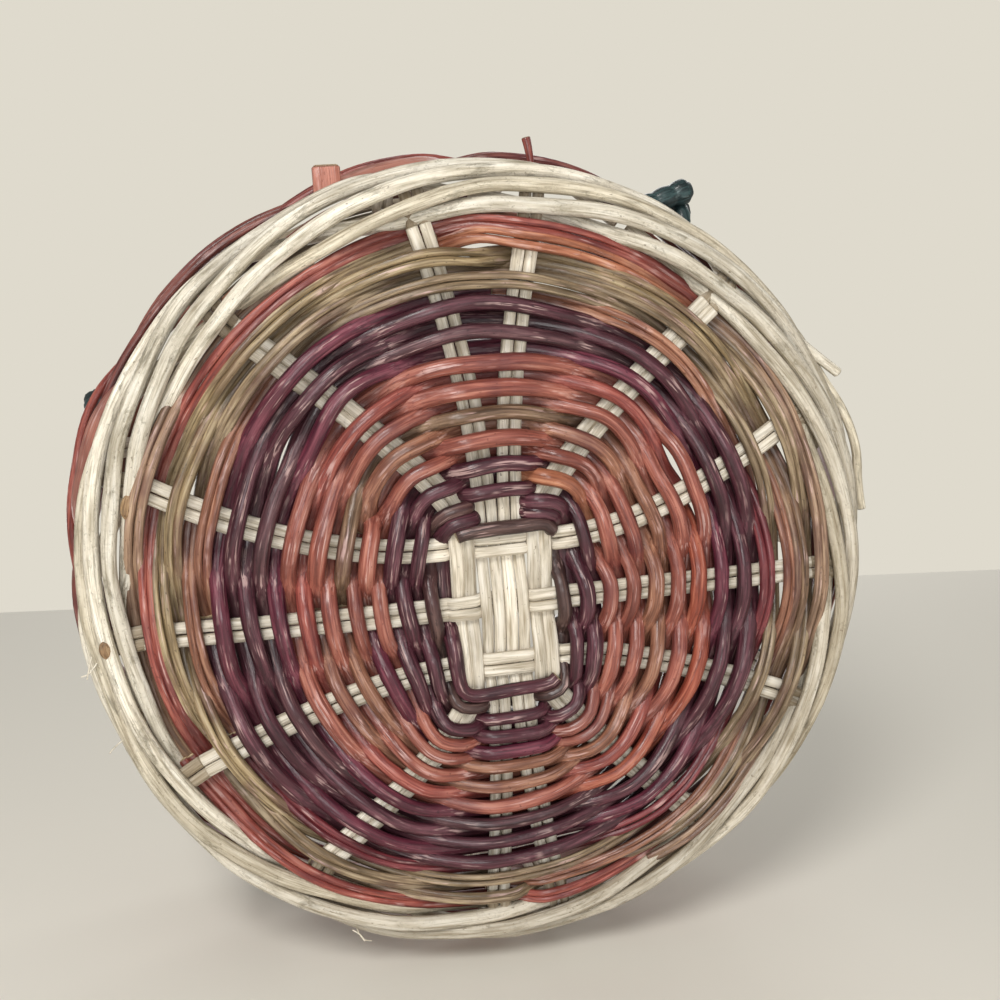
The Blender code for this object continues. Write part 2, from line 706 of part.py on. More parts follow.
def main():
    for thing in list(bpy.data.objects):
        bpy.data.objects.remove(thing)
    finishes = {
        "peeled": material("peeled_willow", (0.62, 0.54, 0.40), 0.6),
        "dark_purple": material("dark_purple_rod", (0.035, 0.014, 0.024), 0.35),
        "purple": material("purple_rod", (0.085, 0.018, 0.042), 0.35),
        "terracotta": material("terracotta_rod", (0.30, 0.075, 0.045), 0.4),
        "amber": material("amber_rod", (0.32, 0.11, 0.05), 0.4),
        "olive": material("olive_rod", (0.22, 0.15, 0.08), 0.4),
        "red": material("red_rod", (0.26, 0.045, 0.035), 0.4),
        "maroon": material("maroon_rod", (0.12, 0.025, 0.025), 0.4),
        "green": material("green_rod", (0.012, 0.04, 0.038), 0.4),
    }
    base_sticks(finishes["peeled"])
    base_weave(finishes)
    foot_wale(finishes["peeled"])
    side_stakes(finishes["peeled"])
    wall(finishes)
    loose_ends(finishes["terracotta"], finishes["red"])


main()
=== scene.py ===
"""Looks of the round onion basket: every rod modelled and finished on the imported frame.

Metres, +Z up. The basket stands on its base at z = 0, and the camera looks up at the
underside, as the photograph does.
"""
import random
from bisect import bisect_right

import bpy
from math import atan2, cos, exp, pi, radians, sin
from mathutils import Matrix, Vector, noise


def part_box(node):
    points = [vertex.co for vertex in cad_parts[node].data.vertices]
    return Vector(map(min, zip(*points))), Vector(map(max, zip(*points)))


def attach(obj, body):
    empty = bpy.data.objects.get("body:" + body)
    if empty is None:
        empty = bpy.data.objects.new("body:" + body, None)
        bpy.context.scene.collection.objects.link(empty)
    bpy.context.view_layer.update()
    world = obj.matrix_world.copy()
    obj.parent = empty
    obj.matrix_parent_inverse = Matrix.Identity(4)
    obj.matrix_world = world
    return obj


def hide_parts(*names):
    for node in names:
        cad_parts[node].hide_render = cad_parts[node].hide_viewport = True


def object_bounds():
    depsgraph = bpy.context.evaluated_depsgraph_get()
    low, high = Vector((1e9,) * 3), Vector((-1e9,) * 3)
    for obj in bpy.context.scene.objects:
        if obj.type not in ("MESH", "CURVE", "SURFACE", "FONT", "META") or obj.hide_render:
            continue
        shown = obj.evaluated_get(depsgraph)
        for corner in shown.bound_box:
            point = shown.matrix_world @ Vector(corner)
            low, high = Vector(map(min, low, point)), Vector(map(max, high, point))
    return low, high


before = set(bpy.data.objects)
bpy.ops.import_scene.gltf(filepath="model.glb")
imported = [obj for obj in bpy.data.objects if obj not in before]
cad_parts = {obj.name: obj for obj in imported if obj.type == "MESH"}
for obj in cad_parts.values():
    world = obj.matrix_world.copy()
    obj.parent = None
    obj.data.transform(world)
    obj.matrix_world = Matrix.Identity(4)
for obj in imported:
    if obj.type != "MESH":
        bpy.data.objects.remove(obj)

TURN = 2.0 * pi
CAD_LOW, CAD_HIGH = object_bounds()

# Camera, fitted to the photograph
CAMERA_PLACE = Vector((0.0682, 0.0836, -0.3732))
CAMERA_AHEAD = Vector((-0.1865, -0.1551, 1.0))
SENSOR = 36.0
LENS = 39.96

# Foot wale
WALE_ROD = 0.0050
WALE_STROKES = 14
WALE_STRANDS = 5
WALE_SHOWN_SHARE = 0.75
# Side of the foot ring that is painted darker: a painted shade of the side away from the light
PAINTED_SHADE_SIDE = radians(225.0)

# Base sticks and their cross, as in the CAD
CLEARANCE = 0.0003
STICK_WIDTH = 0.0042
STICK_THICKNESS = 0.0030
STICK_STEP = STICK_WIDTH + CLEARANCE
PAIR_HALF_WIDTH = STICK_WIDTH + CLEARANCE / 2.0
CROSS = Vector((-0.0050, -0.0138))
CROSS_TURN = radians(-4.0)
SIDE_STRIP_OFFSET = 0.0140
SIDE_STRIP_FULLNESS = 1.14
BAR_OFFSET = 0.0220
BASE_PLANE = 0.006465
BASE_CROWN = 0.0050
INTERLACE = (STICK_THICKNESS + CLEARANCE) / 2.0
CROSSING_EASE = 0.0010
WEAVE_EDGE = 0.12472
SPOKE_END = WEAVE_EDGE - STICK_STEP
END_GAP = 0.0010
UPRIGHT_ENDS = ((44.0, 300.0), (78.0, 269.0), (96.0, 259.0), (130.0, 232.0))
UPRIGHT_STRAIGHT_SHARES = ((0.15, 0.20), (0.45, 0.45), (0.45, 0.45), (0.15, 0.12))
BAR_ENDS = ((15.0, 155.0), (351.0, 182.0), (327.0, 205.0))
BAR_STRAIGHT_SHARES = ((0.45, 0.40), (0.45, 0.45), (0.35, 0.35))
SPOKE_ROOT_SHARE = 0.5

# Base weave
ROWS = 24
GROUP_ROWS = 21
ROWS_PER_TURN = 2
HALF_ROW = 0.5
HEART_WIDTH = 0.0450
HEART_LENGTH = 0.0630
HEART_SQUARENESS = 9.0
LANE_WIDTH = 0.0370
LANE_LENGTH = 0.0588
LANE_SHIFT = 0.0017
LANE_SPREAD = 0.0032
FIRST_ROW = -0.035
FIRST_OVER_ROW = 0.45
TURNED_ROWS = {"a": ((0.85, 1.50), (22.40, 23.60)), "b": ((23.55, 24.40),)}
DOUBLE_ROWS = 18.2
# How dark the base weave's lengths behind the spokes are painted: a painted shade
WEAVE_SHADE = 0.56
WEAVE_START = radians(-118.0)
GROUPS = ((0,), (1,), (2, 3), (4,), (5,), (6,), (7,), (8,), (9, 10), (11,), (12,), (13,))
SINGLES = tuple((k,) for k in range(14))
UPRIGHT_GROUPS = (1, 2, 3, 7, 8, 9)
MEETING_STEPS = 6
CROSSING_MARGIN = 0.0004
SAMPLE_STEP = 0.0024

# Wall
STAKE_THICKNESS = 0.0030
STAKE_BEND = 0.0050
STAKE_SEAT = STAKE_THICKNESS / 2.0 + CLEARANCE
BELLY_RADIUS = 0.1450
BELLY_HEIGHT = 0.0500
RIM_RADIUS = 0.1360
STAKE_TOP = 0.1200
FLARE_POWER = 1.8
WALL_ROD = 0.0031
WALL_ROD_LIFT = 0.0012
WALL_ROD_TILT = radians(60.0)
WALL_TURNS = 3
SPLINT_HEIGHT = 0.0090
SPLINT_THICKNESS = 0.0016
UPPER_ROD = 0.0042
RIM_ROD = 0.0045
BEND_SLACK = 0.0002
BAND_BULGES = ((24.0, 9.0, 0.0016), (357.0, 16.0, 0.0016))
ROD_BULGES = ((24.0, 9.0, 0.0046), (357.0, 16.0, 0.0040), (104.0, 11.0, 0.0010))
BULGE_TOP = 0.0440
BULGE_RUN = 0.0600

# Lugs and loose ends
LUG_ANGLES = (radians(21.5), radians(124.0), radians(206.0), radians(300.0))
LUG_REACH = 0.0170
LUG_REACH_SHARES = (0.34, 0.76, 0.85, 0.85)
LUG_RODS = (0.0048, 0.0066, 0.0062, 0.0062)
LUG_TWISTS = 2.5
WRAP_START = (-0.0690, 0.1318)
WRAP_END = (-0.0910, 0.1398)
WRAP_ROD = 0.0048
WRAP_COILS = 3.0
BEZIER_REACH_SHARE = 0.75
TAB_ANGLE = radians(86.0)
TAB_WIDTH = 0.0100
ROD_END_ANGLE = radians(80.0)


def rgb(red, green, blue):
    """Linear colour of a screen colour."""
    def linear(value):
        value /= 255.0
        return value / 12.92 if value <= 0.04045 else ((value + 0.055) / 1.055) ** 2.4
    return (linear(red), linear(green), linear(blue), 1.0)


# Finishes: screen colours of a rod's shade, body and light streaks, then its character, with the green
# rod's own painted glint colour
FINISHES = {
    "black_brown": dict(slot="dark_purple_rod", dark=(44, 28, 28), body=(78, 54, 50),
                        light=(126, 98, 90)),
    "dark_purple": dict(slot="dark_purple_rod", dark=(40, 16, 24), body=(74, 34, 44),
                        light=(122, 76, 86)),
    "purple": dict(slot="purple_rod", dark=(50, 16, 30), body=(98, 38, 54),
                   light=(146, 84, 96)),
    "grey_purple": dict(slot="dark_purple_rod", dark=(46, 24, 30), body=(86, 50, 56),
                        light=(134, 98, 100)),
    "purple_red": dict(slot="purple_rod", dark=(60, 20, 26), body=(116, 46, 52),
                       light=(158, 92, 90)),
    "terracotta": dict(slot="terracotta_rod", dark=(92, 44, 38), body=(148, 84, 70),
                       light=(186, 132, 114)),
    "red_terracotta": dict(slot="terracotta_rod", dark=(92, 38, 36), body=(148, 74, 64),
                           light=(182, 120, 106)),
    "red_orange": dict(slot="terracotta_rod", dark=(100, 42, 32), body=(160, 82, 62),
                       light=(192, 130, 106)),
    "orange": dict(slot="amber_rod", dark=(110, 60, 40), body=(172, 110, 82),
                   light=(206, 158, 126)),
    "orange_brown": dict(slot="amber_rod", dark=(84, 50, 38), body=(146, 98, 76),
                         light=(188, 146, 120)),
    "olive_brown": dict(slot="olive_rod", dark=(66, 48, 34), body=(128, 100, 78),
                        light=(176, 150, 122)),
    "olive": dict(slot="olive_rod", dark=(70, 57, 40), body=(140, 119, 93),
                  light=(190, 172, 142)),
    "olive_yellow": dict(slot="olive_rod", dark=(74, 60, 40), body=(148, 127, 94),
                         light=(196, 180, 146)),
    "tan": dict(slot="olive_rod", dark=(80, 60, 46), body=(150, 120, 97),
                light=(196, 170, 144)),
    "red": dict(slot="red_rod", dark=(86, 34, 30), body=(148, 74, 64), light=(186, 124, 108)),
    "maroon": dict(slot="maroon_rod", dark=(66, 30, 28), body=(122, 66, 58),
                   light=(164, 112, 100)),
    "green": dict(slot="green_rod", dark=(14, 22, 24), body=(36, 56, 58),
                  light=(66, 94, 94), dyed=(22, 30, 34), painted_glint_colour=(104, 128, 126)),
    "peeled": dict(slot="peeled_willow", dark=(146, 132, 108), body=(218, 209, 192),
                   light=(238, 232, 220), peeled=True),
    "white": dict(slot="peeled_willow", dark=(146, 135, 112), body=(224, 216, 199),
                  light=(247, 243, 231), peeled=True, stained=True),
    "willow": dict(slot="peeled_willow", dark=(132, 119, 96), body=(213, 203, 181),
                   light=(238, 230, 212), peeled=True, stained=True),
    "knot": dict(slot="peeled_willow", dark=(84, 60, 42), body=(142, 114, 84),
                 light=(176, 150, 116), peeled=True, stained=True),
    "splint": dict(slot="terracotta_rod", dark=(124, 72, 60), body=(180, 118, 101),
                   light=(204, 152, 134), plain=0.60),
}


# Materials

class Graph:
    """Short words for building a material's nodes."""

    def __init__(self, name):
        self.material = bpy.data.materials.new(name)
        self.material.use_nodes = True
        self.tree = self.material.node_tree
        self.shader = self.tree.nodes["Principled BSDF"]
        self.output = self.tree.nodes["Material Output"]

    def node(self, kind, **sockets):
        made = self.tree.nodes.new(kind)
        for key, value in sockets.items():
            self.put(value, made.inputs[key.replace("_", " ")])
        return made

    def put(self, value, socket):
        if isinstance(value, bpy.types.NodeSocket):
            self.tree.links.new(value, socket)
        else:
            socket.default_value = value

    def attribute(self, name, output="Fac"):
        made = self.tree.nodes.new("ShaderNodeAttribute")
        made.attribute_name = name
        return made.outputs[output]

    def math(self, operation, one, two=0.0, clamp=False):
        made = self.tree.nodes.new("ShaderNodeMath")
        made.operation = operation
        made.use_clamp = clamp
        self.put(one, made.inputs[0])
        self.put(two, made.inputs[1])
        return made.outputs[0]

    def stretched(self, vector, scale):
        made = self.node("ShaderNodeMapping", Vector=vector, Scale=scale)
        return made.outputs["Vector"]

    def noise(self, vector, scale, detail=2.0, roughness=0.5, distortion=0.0):
        made = self.node("ShaderNodeTexNoise", Vector=vector, Scale=scale, Detail=detail,
                         Roughness=roughness, Distortion=distortion)
        return made.outputs["Fac"]

    def spread(self, value, low, high, to_low=0.0, to_high=1.0):
        """Map a range to another, clamped."""
        made = self.node("ShaderNodeMapRange")
        made.clamp = True
        for socket, entry in zip(("Value", "From Min", "From Max", "To Min", "To Max"),
                                 (value, low, high, to_low, to_high)):
            self.put(entry, made.inputs[socket])
        return made.outputs["Result"]

    def blend(self, share, one, two, mode="MIX"):
        made = self.tree.nodes.new("ShaderNodeMix")
        made.data_type = "RGBA"
        made.blend_type = mode
        made.clamp_factor = True
        self.put(share, made.inputs["Factor"])
        self.put(one, made.inputs[6])
        self.put(two, made.inputs[7])
        return made.outputs[2]

    def bump(self, height, strength, distance, normal=None):
        made = self.node("ShaderNodeBump", Height=height, Strength=strength, Distance=distance)
        if normal is not None:
            self.put(normal, made.inputs["Normal"])
        return made.outputs["Normal"]


def rod_material(name, dark, body, light, slot, peeled=False, stained=False, plain=0.12,
                 dyed=(80, 36, 46), painted_glint_colour=(222, 188, 182)):
    """A willow rod: lengthwise streaks, blotched dye or bark stains, varnish with painted glints on the
    crest, and painted shade on the flanks, the back and the lengths behind the spokes.
    """
    g = Graph(name)
    grain = g.attribute("grain", "Vector")
    tone = g.attribute("tone")
    cut = g.attribute("cut")
    wear_and_light = g.attribute("wear_and_light")
    deep = g.attribute("deep")
    fibres = g.noise(g.stretched(grain, (1.0, 1.0, 0.04)), 1250.0, 3.0, 0.6)
    streaks = g.noise(g.stretched(grain, (1.0, 1.0, 0.08)), 640.0, 2.0, 0.5, 0.3)
    blotches = g.noise(g.stretched(grain, (1.0, 1.0, 0.30)), 150.0, 3.0, 0.6, 0.5)
    long_tone = g.noise(g.stretched(grain, (0.2, 0.2, 1.0)), 26.0, 2.0, 0.5)
    specks = g.noise(g.stretched(grain, (1.0, 1.0, 0.6)), 900.0, 2.0, 0.5)
    # Noise for painted highlights: glint streaks, and the patches in which they show
    glints = g.noise(g.stretched(grain, (1.0, 1.0, 0.07)), 1150.0, 2.0, 0.55)
    glint_patches = g.noise(g.stretched(grain, (0.3, 0.3, 1.0)), 90.0, 2.0, 0.6)
    shade = g.math("ADD", g.math("MULTIPLY", fibres, 0.45), g.math("MULTIPLY", streaks, 0.55))
    # Streaks lifted a little on the crest and lowered on the flanks: rubbed wear, and painted light and
    # shade
    shade = g.math("ADD", shade, g.math("MULTIPLY", g.math("SUBTRACT", wear_and_light, 0.75), 0.10))
    if peeled:
        colour = g.blend(g.spread(shade, 0.34, 0.52), rgb(*dark), rgb(*body))
        colour = g.blend(g.spread(shade, 0.52, 0.64, 0.0, 0.8), colour, rgb(*light))
    else:
        colour = g.blend(g.spread(shade, 0.38, 0.56), rgb(*dark), rgb(*body))
        colour = g.blend(g.spread(shade, 0.53, 0.66, 0.0, 0.7), colour, rgb(*light))
    colour = g.blend(plain, colour, rgb(*body))
    colour = g.blend(g.spread(blotches, 0.50, 0.72, 0.0, 0.40), colour, rgb(*dark))
    level = g.math("ADD", g.math("MULTIPLY", tone, 0.26),
                   g.math("ADD", g.math("MULTIPLY", long_tone, 0.40), 0.68))
    bright = g.node("ShaderNodeCombineColor")
    for channel in range(3):
        g.put(level, bright.inputs[channel])
    colour = g.blend(1.0, colour, bright.outputs[0], "MULTIPLY")
    lines = g.noise(g.stretched(grain, (1.0, 1.0, 0.025)), 2100.0, 2.0, 0.5)
    colour = g.blend(g.spread(lines, 0.57, 0.64, 0.0, 0.45), colour, rgb(*dark))
    if peeled:
        dirt = g.noise(g.stretched(grain, (1.0, 1.0, 0.22)), 230.0, 4.0, 0.7, 0.8)
        amount = 0.70 if stained else 0.35
        colour = g.blend(g.spread(dirt, 0.56, 0.70, 0.0, amount), colour, rgb(112, 106, 90))
        colour = g.blend(g.spread(specks, 0.69, 0.75, 0.0, 0.6), colour, rgb(92, 78, 58))
        if stained:
            scurf = g.noise(g.stretched(grain, (1.0, 1.0, 0.6)), 700.0, 3.0, 0.7, 1.0)
            scurf = g.math("MULTIPLY", g.spread(scurf, 0.55, 0.63), g.spread(dirt, 0.46, 0.60))
            colour = g.blend(g.math("MULTIPLY", scurf, 0.55), colour, rgb(128, 120, 98))
        # Colour of the painted shade on peeled rods
        painted_shade_colour = rgb(112, 94, 68)
    else:
        dye = g.noise(g.stretched(grain, (0.4, 0.4, 1.0)), 34.0, 3.0, 0.6)
        colour = g.blend(g.spread(dye, 0.52, 0.68, 0.0, 0.50), colour, rgb(*dyed))
        # Painted glints: light streaks painted on the crest, in patches, standing in for the varnish's
        # highlights
        painted_glints = g.math("MULTIPLY", g.spread(glints, 0.55, 0.63), g.spread(wear_and_light, 0.76, 1.0))
        painted_glints = g.math("MULTIPLY", painted_glints, g.spread(glint_patches, 0.44, 0.62, 0.0, 0.55))
        colour = g.blend(painted_glints, colour, rgb(*painted_glint_colour))
        colour = g.blend(g.spread(specks, 0.66, 0.72, 0.0, 0.6), colour, rgb(*dark))
        # Colour of the painted shade on dyed rods, a darker copy of their own dark colour
        painted_shade_colour = rgb(dark[0] * 0.80, dark[1] * 0.76, dark[2] * 0.76)
    # Painted shade on the flanks and back of each rod, the side away from the light; the rubbed crest
    # stays lighter
    colour = g.blend(g.spread(wear_and_light, 0.25, 0.70, 0.60, 0.0), colour, painted_shade_colour)
    # Painted shade on the lengths behind the spokes and on one side of the foot ring
    colour = g.blend(g.math("MULTIPLY", deep, 0.85), colour, painted_shade_colour)
    wood = g.blend(g.spread(specks, 0.4, 0.7), rgb(214, 196, 158), rgb(140, 108, 76))
    colour = g.blend(cut, colour, wood)
    g.put(colour, g.shader.inputs["Base Color"])
    rough_low, rough_high = (0.55, 0.78) if peeled else (0.30, 0.58)
    g.put(g.spread(streaks, 0.35, 0.65, rough_low, rough_high), g.shader.inputs["Roughness"])
    g.shader.inputs["Coat Weight"].default_value = 0.04 if peeled else 0.20
    g.shader.inputs["Coat Roughness"].default_value = 0.30 if peeled else 0.20
    g.shader.inputs["Specular IOR Level"].default_value = 0.30 if peeled else 0.38
    flakes = g.noise(g.stretched(grain, (1.0, 1.0, 0.7)), 620.0, 3.0, 0.65, 0.6)
    ripple = g.noise(g.stretched(grain, (1.0, 1.0, 0.5)), 1300.0, 2.0, 0.6)
    dents = g.noise(g.stretched(grain, (1.0, 1.0, 0.3)), 260.0, 2.0, 0.5)
    normal = g.bump(streaks, 0.70, 0.0007)
    normal = g.bump(fibres, 0.60, 0.00035, normal)
    normal = g.bump(ripple, 0.25 if peeled else 0.55, 0.00025, normal)
    normal = g.bump(dents, 0.55, 0.0007, normal)
    if stained:
        normal = g.bump(g.spread(flakes, 0.52, 0.62), 0.55, 0.0003, normal)
    g.put(normal, g.shader.inputs["Normal"])
    return g.material


MATERIALS = {}


def finish_material(finish):
    if finish not in MATERIALS:
        MATERIALS[finish] = rod_material(finish + "_rod_finish", **FINISHES[finish])
    return MATERIALS[finish]


# Rods as meshes

def smooth(share):
    share = min(1.0, max(0.0, share))
    return share * share * (3.0 - 2.0 * share)


def wobble(seed, place):
    """Gentle noise between about -1 and 1."""
    return noise.noise(Vector((seed * 7.31, place, seed * 1.7))) * 1.6


class Rods:
    """One piece made of one or more rods, with the attributes that its finish reads."""

    def __init__(self, name):
        self.name = name
        self.points = []
        self.faces = []
        self.face_finish = []
        self.grain = []
        self.tone = []
        self.cut = []
        self.wear_and_light = []
        self.deep = []
        self.finishes = []

    def add(self, line, ups, radii, finish, seed, sides=12, flat=1.0, closed=False,
            knots=0.10, square=2.0, cut_ends=(True, True), crest=1.0, both_worn=False,
            deep=None):
        """A rod along a line. ups: direction across it at each point. radii: at each point.
        flat: its size along up as a share of its size across. crest: 1 where the side along up
        is the rubbed, lighter one and the other side is given painted shade, -1 the other way round.
        The last argument: how dark the rod is painted at each point, a painted shade. Where both sides are
        crests, the sides along and against up are lighter, the flanks get painted shade, and only the side
        against up takes the last argument's painted shade."""
        if finish not in self.finishes:
            self.finishes.append(finish)
        slot = self.finishes.index(finish)
        chance = random.Random(seed)
        tone = chance.random()
        offset = Vector((chance.random(), chance.random(), chance.random()))
        count = len(line)
        length = [0.0]
        for before, after in zip(line, line[1:]):
            length.append(length[-1] + (after - before).length)
        knot_places = []
        place = chance.uniform(0.02, 0.08)
        while place < length[-1]:
            knot_places.append((place, chance.uniform(0.4, 1.0), chance.uniform(0.0, TURN)))
            place += chance.uniform(0.055, 0.12)
        first = len(self.points)
        for i, (point, up, radius) in enumerate(zip(line, ups, radii)):
            if closed:
                ahead = line[(i + 1) % count] - line[i - 1]
            else:
                ahead = line[min(i + 1, count - 1)] - line[max(i - 1, 0)]
            ahead.normalize()
            side = ahead.cross(up).normalized()
            top = side.cross(ahead)
            swell = 1.0 + 0.05 * wobble(seed + 0.5, length[i] * 45.0)
            for j in range(sides):
                angle = TURN * j / sides
                bump = 1.0
                for knot, size, turn in knot_places:
                    gap = (length[i] - knot) / 0.0017
                    if abs(gap) < 3.0:
                        bump += knots * size * exp(-gap * gap) * (0.6 + 0.4 * cos(angle - turn))
                across, along = cos(angle), sin(angle)
                if square != 2.0:
                    fit = (abs(across) ** square + abs(along) ** square) ** (-1.0 / square)
                    across, along = across * fit, along * fit
                reach = radius * swell * bump
                reach *= 1.0 + 0.035 * wobble(seed + 3.0 + 0.2 * cos(angle), sin(angle) + length[i] * 30.0)
                self.points.append(point + side * (across * reach) + top * (along * reach * flat))
                self.grain.append(Vector((across * radius, along * radius, length[i])) + offset)
                self.tone.append(tone)
                self.cut.append(0.0)
                # Mask of the rubbed, lighter crest and of the painted shade on the back or flanks
                rise = sin(angle)
                self.wear_and_light.append(0.5 + 0.5 * (abs(rise) if both_worn else crest * rise))
                share = 0.5 - 0.5 * rise if both_worn else 1.0
                self.deep.append(deep[i] * share if deep else 0.0)
        rings = count if closed else count - 1
        for i in range(rings):
            near = first + i * sides
            far = first + ((i + 1) % count) * sides
            for j in range(sides):
                k = (j + 1) % sides
                self.faces.append((near + j, near + k, far + k, far + j))
                self.face_finish.append(slot)
        if not closed:
            self.cap(first, sides, line[0], line[0] - line[1], slot, tone, True, cut_ends[0])
            last = first + (count - 1) * sides
            self.cap(last, sides, line[-1], line[-1] - line[-2], slot, tone, False, cut_ends[1])

    def cap(self, ring, sides, centre, out, slot, tone, first, cut):
        """A cut end: a small chamfer, then the flat cut."""
        out = out.normalized()
        start = len(self.points)
        radius = (self.points[ring] - centre).length
        for j in range(sides):
            rim = self.points[ring + j]
            self.points.append(centre + (rim - centre) * 0.82 + out * (radius * 0.18))
            self.grain.append(self.grain[ring + j] * 0.82)
            self.tone.append(tone)
            self.cut.append(1.0 if cut else 0.0)
            self.wear_and_light.append(self.wear_and_light[ring + j])
            self.deep.append(self.deep[ring + j])
        for j in range(sides):
            k = (j + 1) % sides
            face = (ring + j, ring + k, start + k, start + j)
            self.faces.append(face[::-1] if first else face)
            self.face_finish.append(slot)
        end = tuple(start + j for j in range(sides))
        self.faces.append(end[::-1] if first else end)
        self.face_finish.append(slot)

    def finish(self, nodes, slot=None):
        """Make the object, and hide the CAD nodes that it stands for."""
        mesh = bpy.data.meshes.new(self.name)
        mesh.from_pydata(self.points, [], self.faces)
        for finish in self.finishes:
            mesh.materials.append(finish_material(finish))
        mesh.polygons.foreach_set("material_index", self.face_finish)
        mesh.shade_smooth()
        mesh.set_sharp_from_angle(angle=radians(50.0))
        grain = mesh.attributes.new("grain", "FLOAT_VECTOR", "POINT")
        grain.data.foreach_set("vector", [value for entry in self.grain for value in entry])
        for name, values in (("tone", self.tone), ("cut", self.cut), ("wear_and_light", self.wear_and_light),
                             ("deep", self.deep)):
            mesh.attributes.new(name, "FLOAT", "POINT").data.foreach_set("value", values)
        mesh.update()
        piece = bpy.data.objects.new(self.name, mesh)
        bpy.context.scene.collection.objects.link(piece)
        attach(piece, "root")
        if nodes:
            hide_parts(*nodes)
        return piece


# The cross and its spokes, in plan

def from_cross(x, y):
    turned = Vector((x * cos(CROSS_TURN) - y * sin(CROSS_TURN),
                     x * sin(CROSS_TURN) + y * cos(CROSS_TURN)))
    return CROSS + turned


def base_height(place):
    share = min(1.0, place.length / SPOKE_END)
    return BASE_PLANE + BASE_CROWN * (1.0 - share * share)


def spoke_point(start, ahead, angle, straight, t):
    end = Vector((SPOKE_END * cos(angle), SPOKE_END * sin(angle)))
    bend = start + ahead * (straight * (end - start).length)
    return start * (1.0 - t) ** 2 + bend * (2.0 * t * (1.0 - t)) + end * t ** 2


def strip_sides(strip, bar):
    return 1.0 if (strip + bar) % 2 else -1.0


class StickPair:
    """Two sticks side by side, through the cross and out to two spokes."""

    def __init__(self, upright, index):
        self.upright = upright
        if upright:
            offsets = (SIDE_STRIP_OFFSET, STICK_STEP, -STICK_STEP, -SIDE_STRIP_OFFSET)
            self.offset = offsets[index]
            self.ends = [radians(a) for a in UPRIGHT_ENDS[index]]
            self.shares = UPRIGHT_STRAIGHT_SHARES[index]
            self.half_run = HEART_LENGTH / 2.0 - STICK_STEP / 2.0
            strip = (0, 1, 1, 2)[index]
            self.crossings = [(place, PAIR_HALF_WIDTH - CROSSING_EASE, strip_sides(strip, bar))
                              for bar, place in enumerate((BAR_OFFSET, 0.0, -BAR_OFFSET))]
        else:
            self.offset = (BAR_OFFSET, 0.0, -BAR_OFFSET)[index]
            self.ends = [radians(a) for a in BAR_ENDS[index]]
            self.shares = BAR_STRAIGHT_SHARES[index]
            self.half_run = HEART_WIDTH / 2.0 - STICK_STEP / 2.0
            strips = ((SIDE_STRIP_OFFSET, PAIR_HALF_WIDTH),
                      (0.0, PAIR_HALF_WIDTH + STICK_STEP),
                      (-SIDE_STRIP_OFFSET, PAIR_HALF_WIDTH))
            self.crossings = [(place, half - CROSSING_EASE, -strip_sides(strip, index))
                              for strip, (place, half) in enumerate(strips)]

    def place(self, run, offset):
        if self.upright:
            return from_cross(offset, run)
        return from_cross(run, offset)

    def spoke(self, positive, count):
        sign = 1.0 if positive else -1.0
        start = self.place(sign * self.half_run, self.offset)
        ahead = (start - self.place(0.0, self.offset)).normalized()
        angle = self.ends[0 if positive else 1]
        straight = self.shares[0 if positive else 1]
        return [spoke_point(start, ahead, angle, straight, i / count) for i in range(count + 1)]

    def lift(self, run):
        """Interlace of the pair with the strips that it crosses."""
        stations = [(-self.half_run - 0.004, 0.0)]
        for place, half, side in reversed(self.crossings):
            stations += [(place - half, side), (place + half, side)]
        stations.append((self.half_run + 0.004, 0.0))
        for (low, side), (high, next_side) in zip(stations, stations[1:]):
            if low <= run <= high:
                return side + (next_side - side) * smooth((run - low) / (high - low))
        return 0.0


PAIRS = [StickPair(True, i) for i in range(4)] + [StickPair(False, i) for i in range(3)]


def spoke_table():
    """Every spoke as (end angle, polar places about the cross), in order round the rim."""
    table = []
    for pair in PAIRS:
        for positive in (True, False):
            line = pair.spoke(positive, 16)
            line.append(line[-1] * (0.14 / SPOKE_END))
            inner = pair.place(0.0, pair.offset)
            line.insert(0, inner + (line[0] - inner) * SPOKE_ROOT_SHARE)
            angle = pair.ends[0 if positive else 1]
            places = []
            for place in line:
                away = place - CROSS
                turn = atan2(away.y, away.x)
                turn += TURN * round((angle - turn) / TURN)
                places.append((away.length, turn))
            table.append((angle, places))
    return sorted(table)


SPOKES = spoke_table()
STAKE_ANGLES = [angle for angle, _ in SPOKES]


def spoke_turn(index, distance):
    places = SPOKES[index][1]
    for (near, turn), (far, next_turn) in zip(places, places[1:]):
        if distance <= far:
            share = max(0.0, (distance - near) / (far - near))
            return turn + (next_turn - turn) * share
    return places[-1][1]


# Base weave, in plan about the cross

def heart_distance(turn):
    """Distance of the innermost lane, a little further out below the cross than above it."""
    half_length = LANE_LENGTH / 2.0 - LANE_SHIFT * sin(turn)
    x = abs(cos(turn - CROSS_TURN)) / (LANE_WIDTH / 2.0)
    y = abs(sin(turn - CROSS_TURN)) / half_length
    return (x ** HEART_SQUARENESS + y ** HEART_SQUARENESS) ** (-1.0 / HEART_SQUARENESS)


def full_side(turn):
    """1 on the side where the weave reaches further out, 0 on the other."""
    off = abs((turn - radians(258.0) + pi) % TURN - pi)
    return 1.0 - smooth((off - radians(50.0)) / radians(60.0))


def edge_distance(turn):
    edge = WEAVE_EDGE + 0.0008 + 0.0052 * full_side(turn)
    ahead = Vector((cos(turn), sin(turn)))
    along = CROSS.dot(ahead)
    return (edge ** 2 - CROSS.length_squared + along * along) ** 0.5 - along


def lane_distance(turn, row):
    heart = heart_distance(turn)
    below = max(0.0, -sin(turn)) ** 2
    spread = LANE_SPREAD * below * smooth(row / 2.2) * (1.0 - smooth((row - 3.0) / 6.0))
    return heart + (edge_distance(turn) - heart) * row / (ROWS + HALF_ROW) + spread


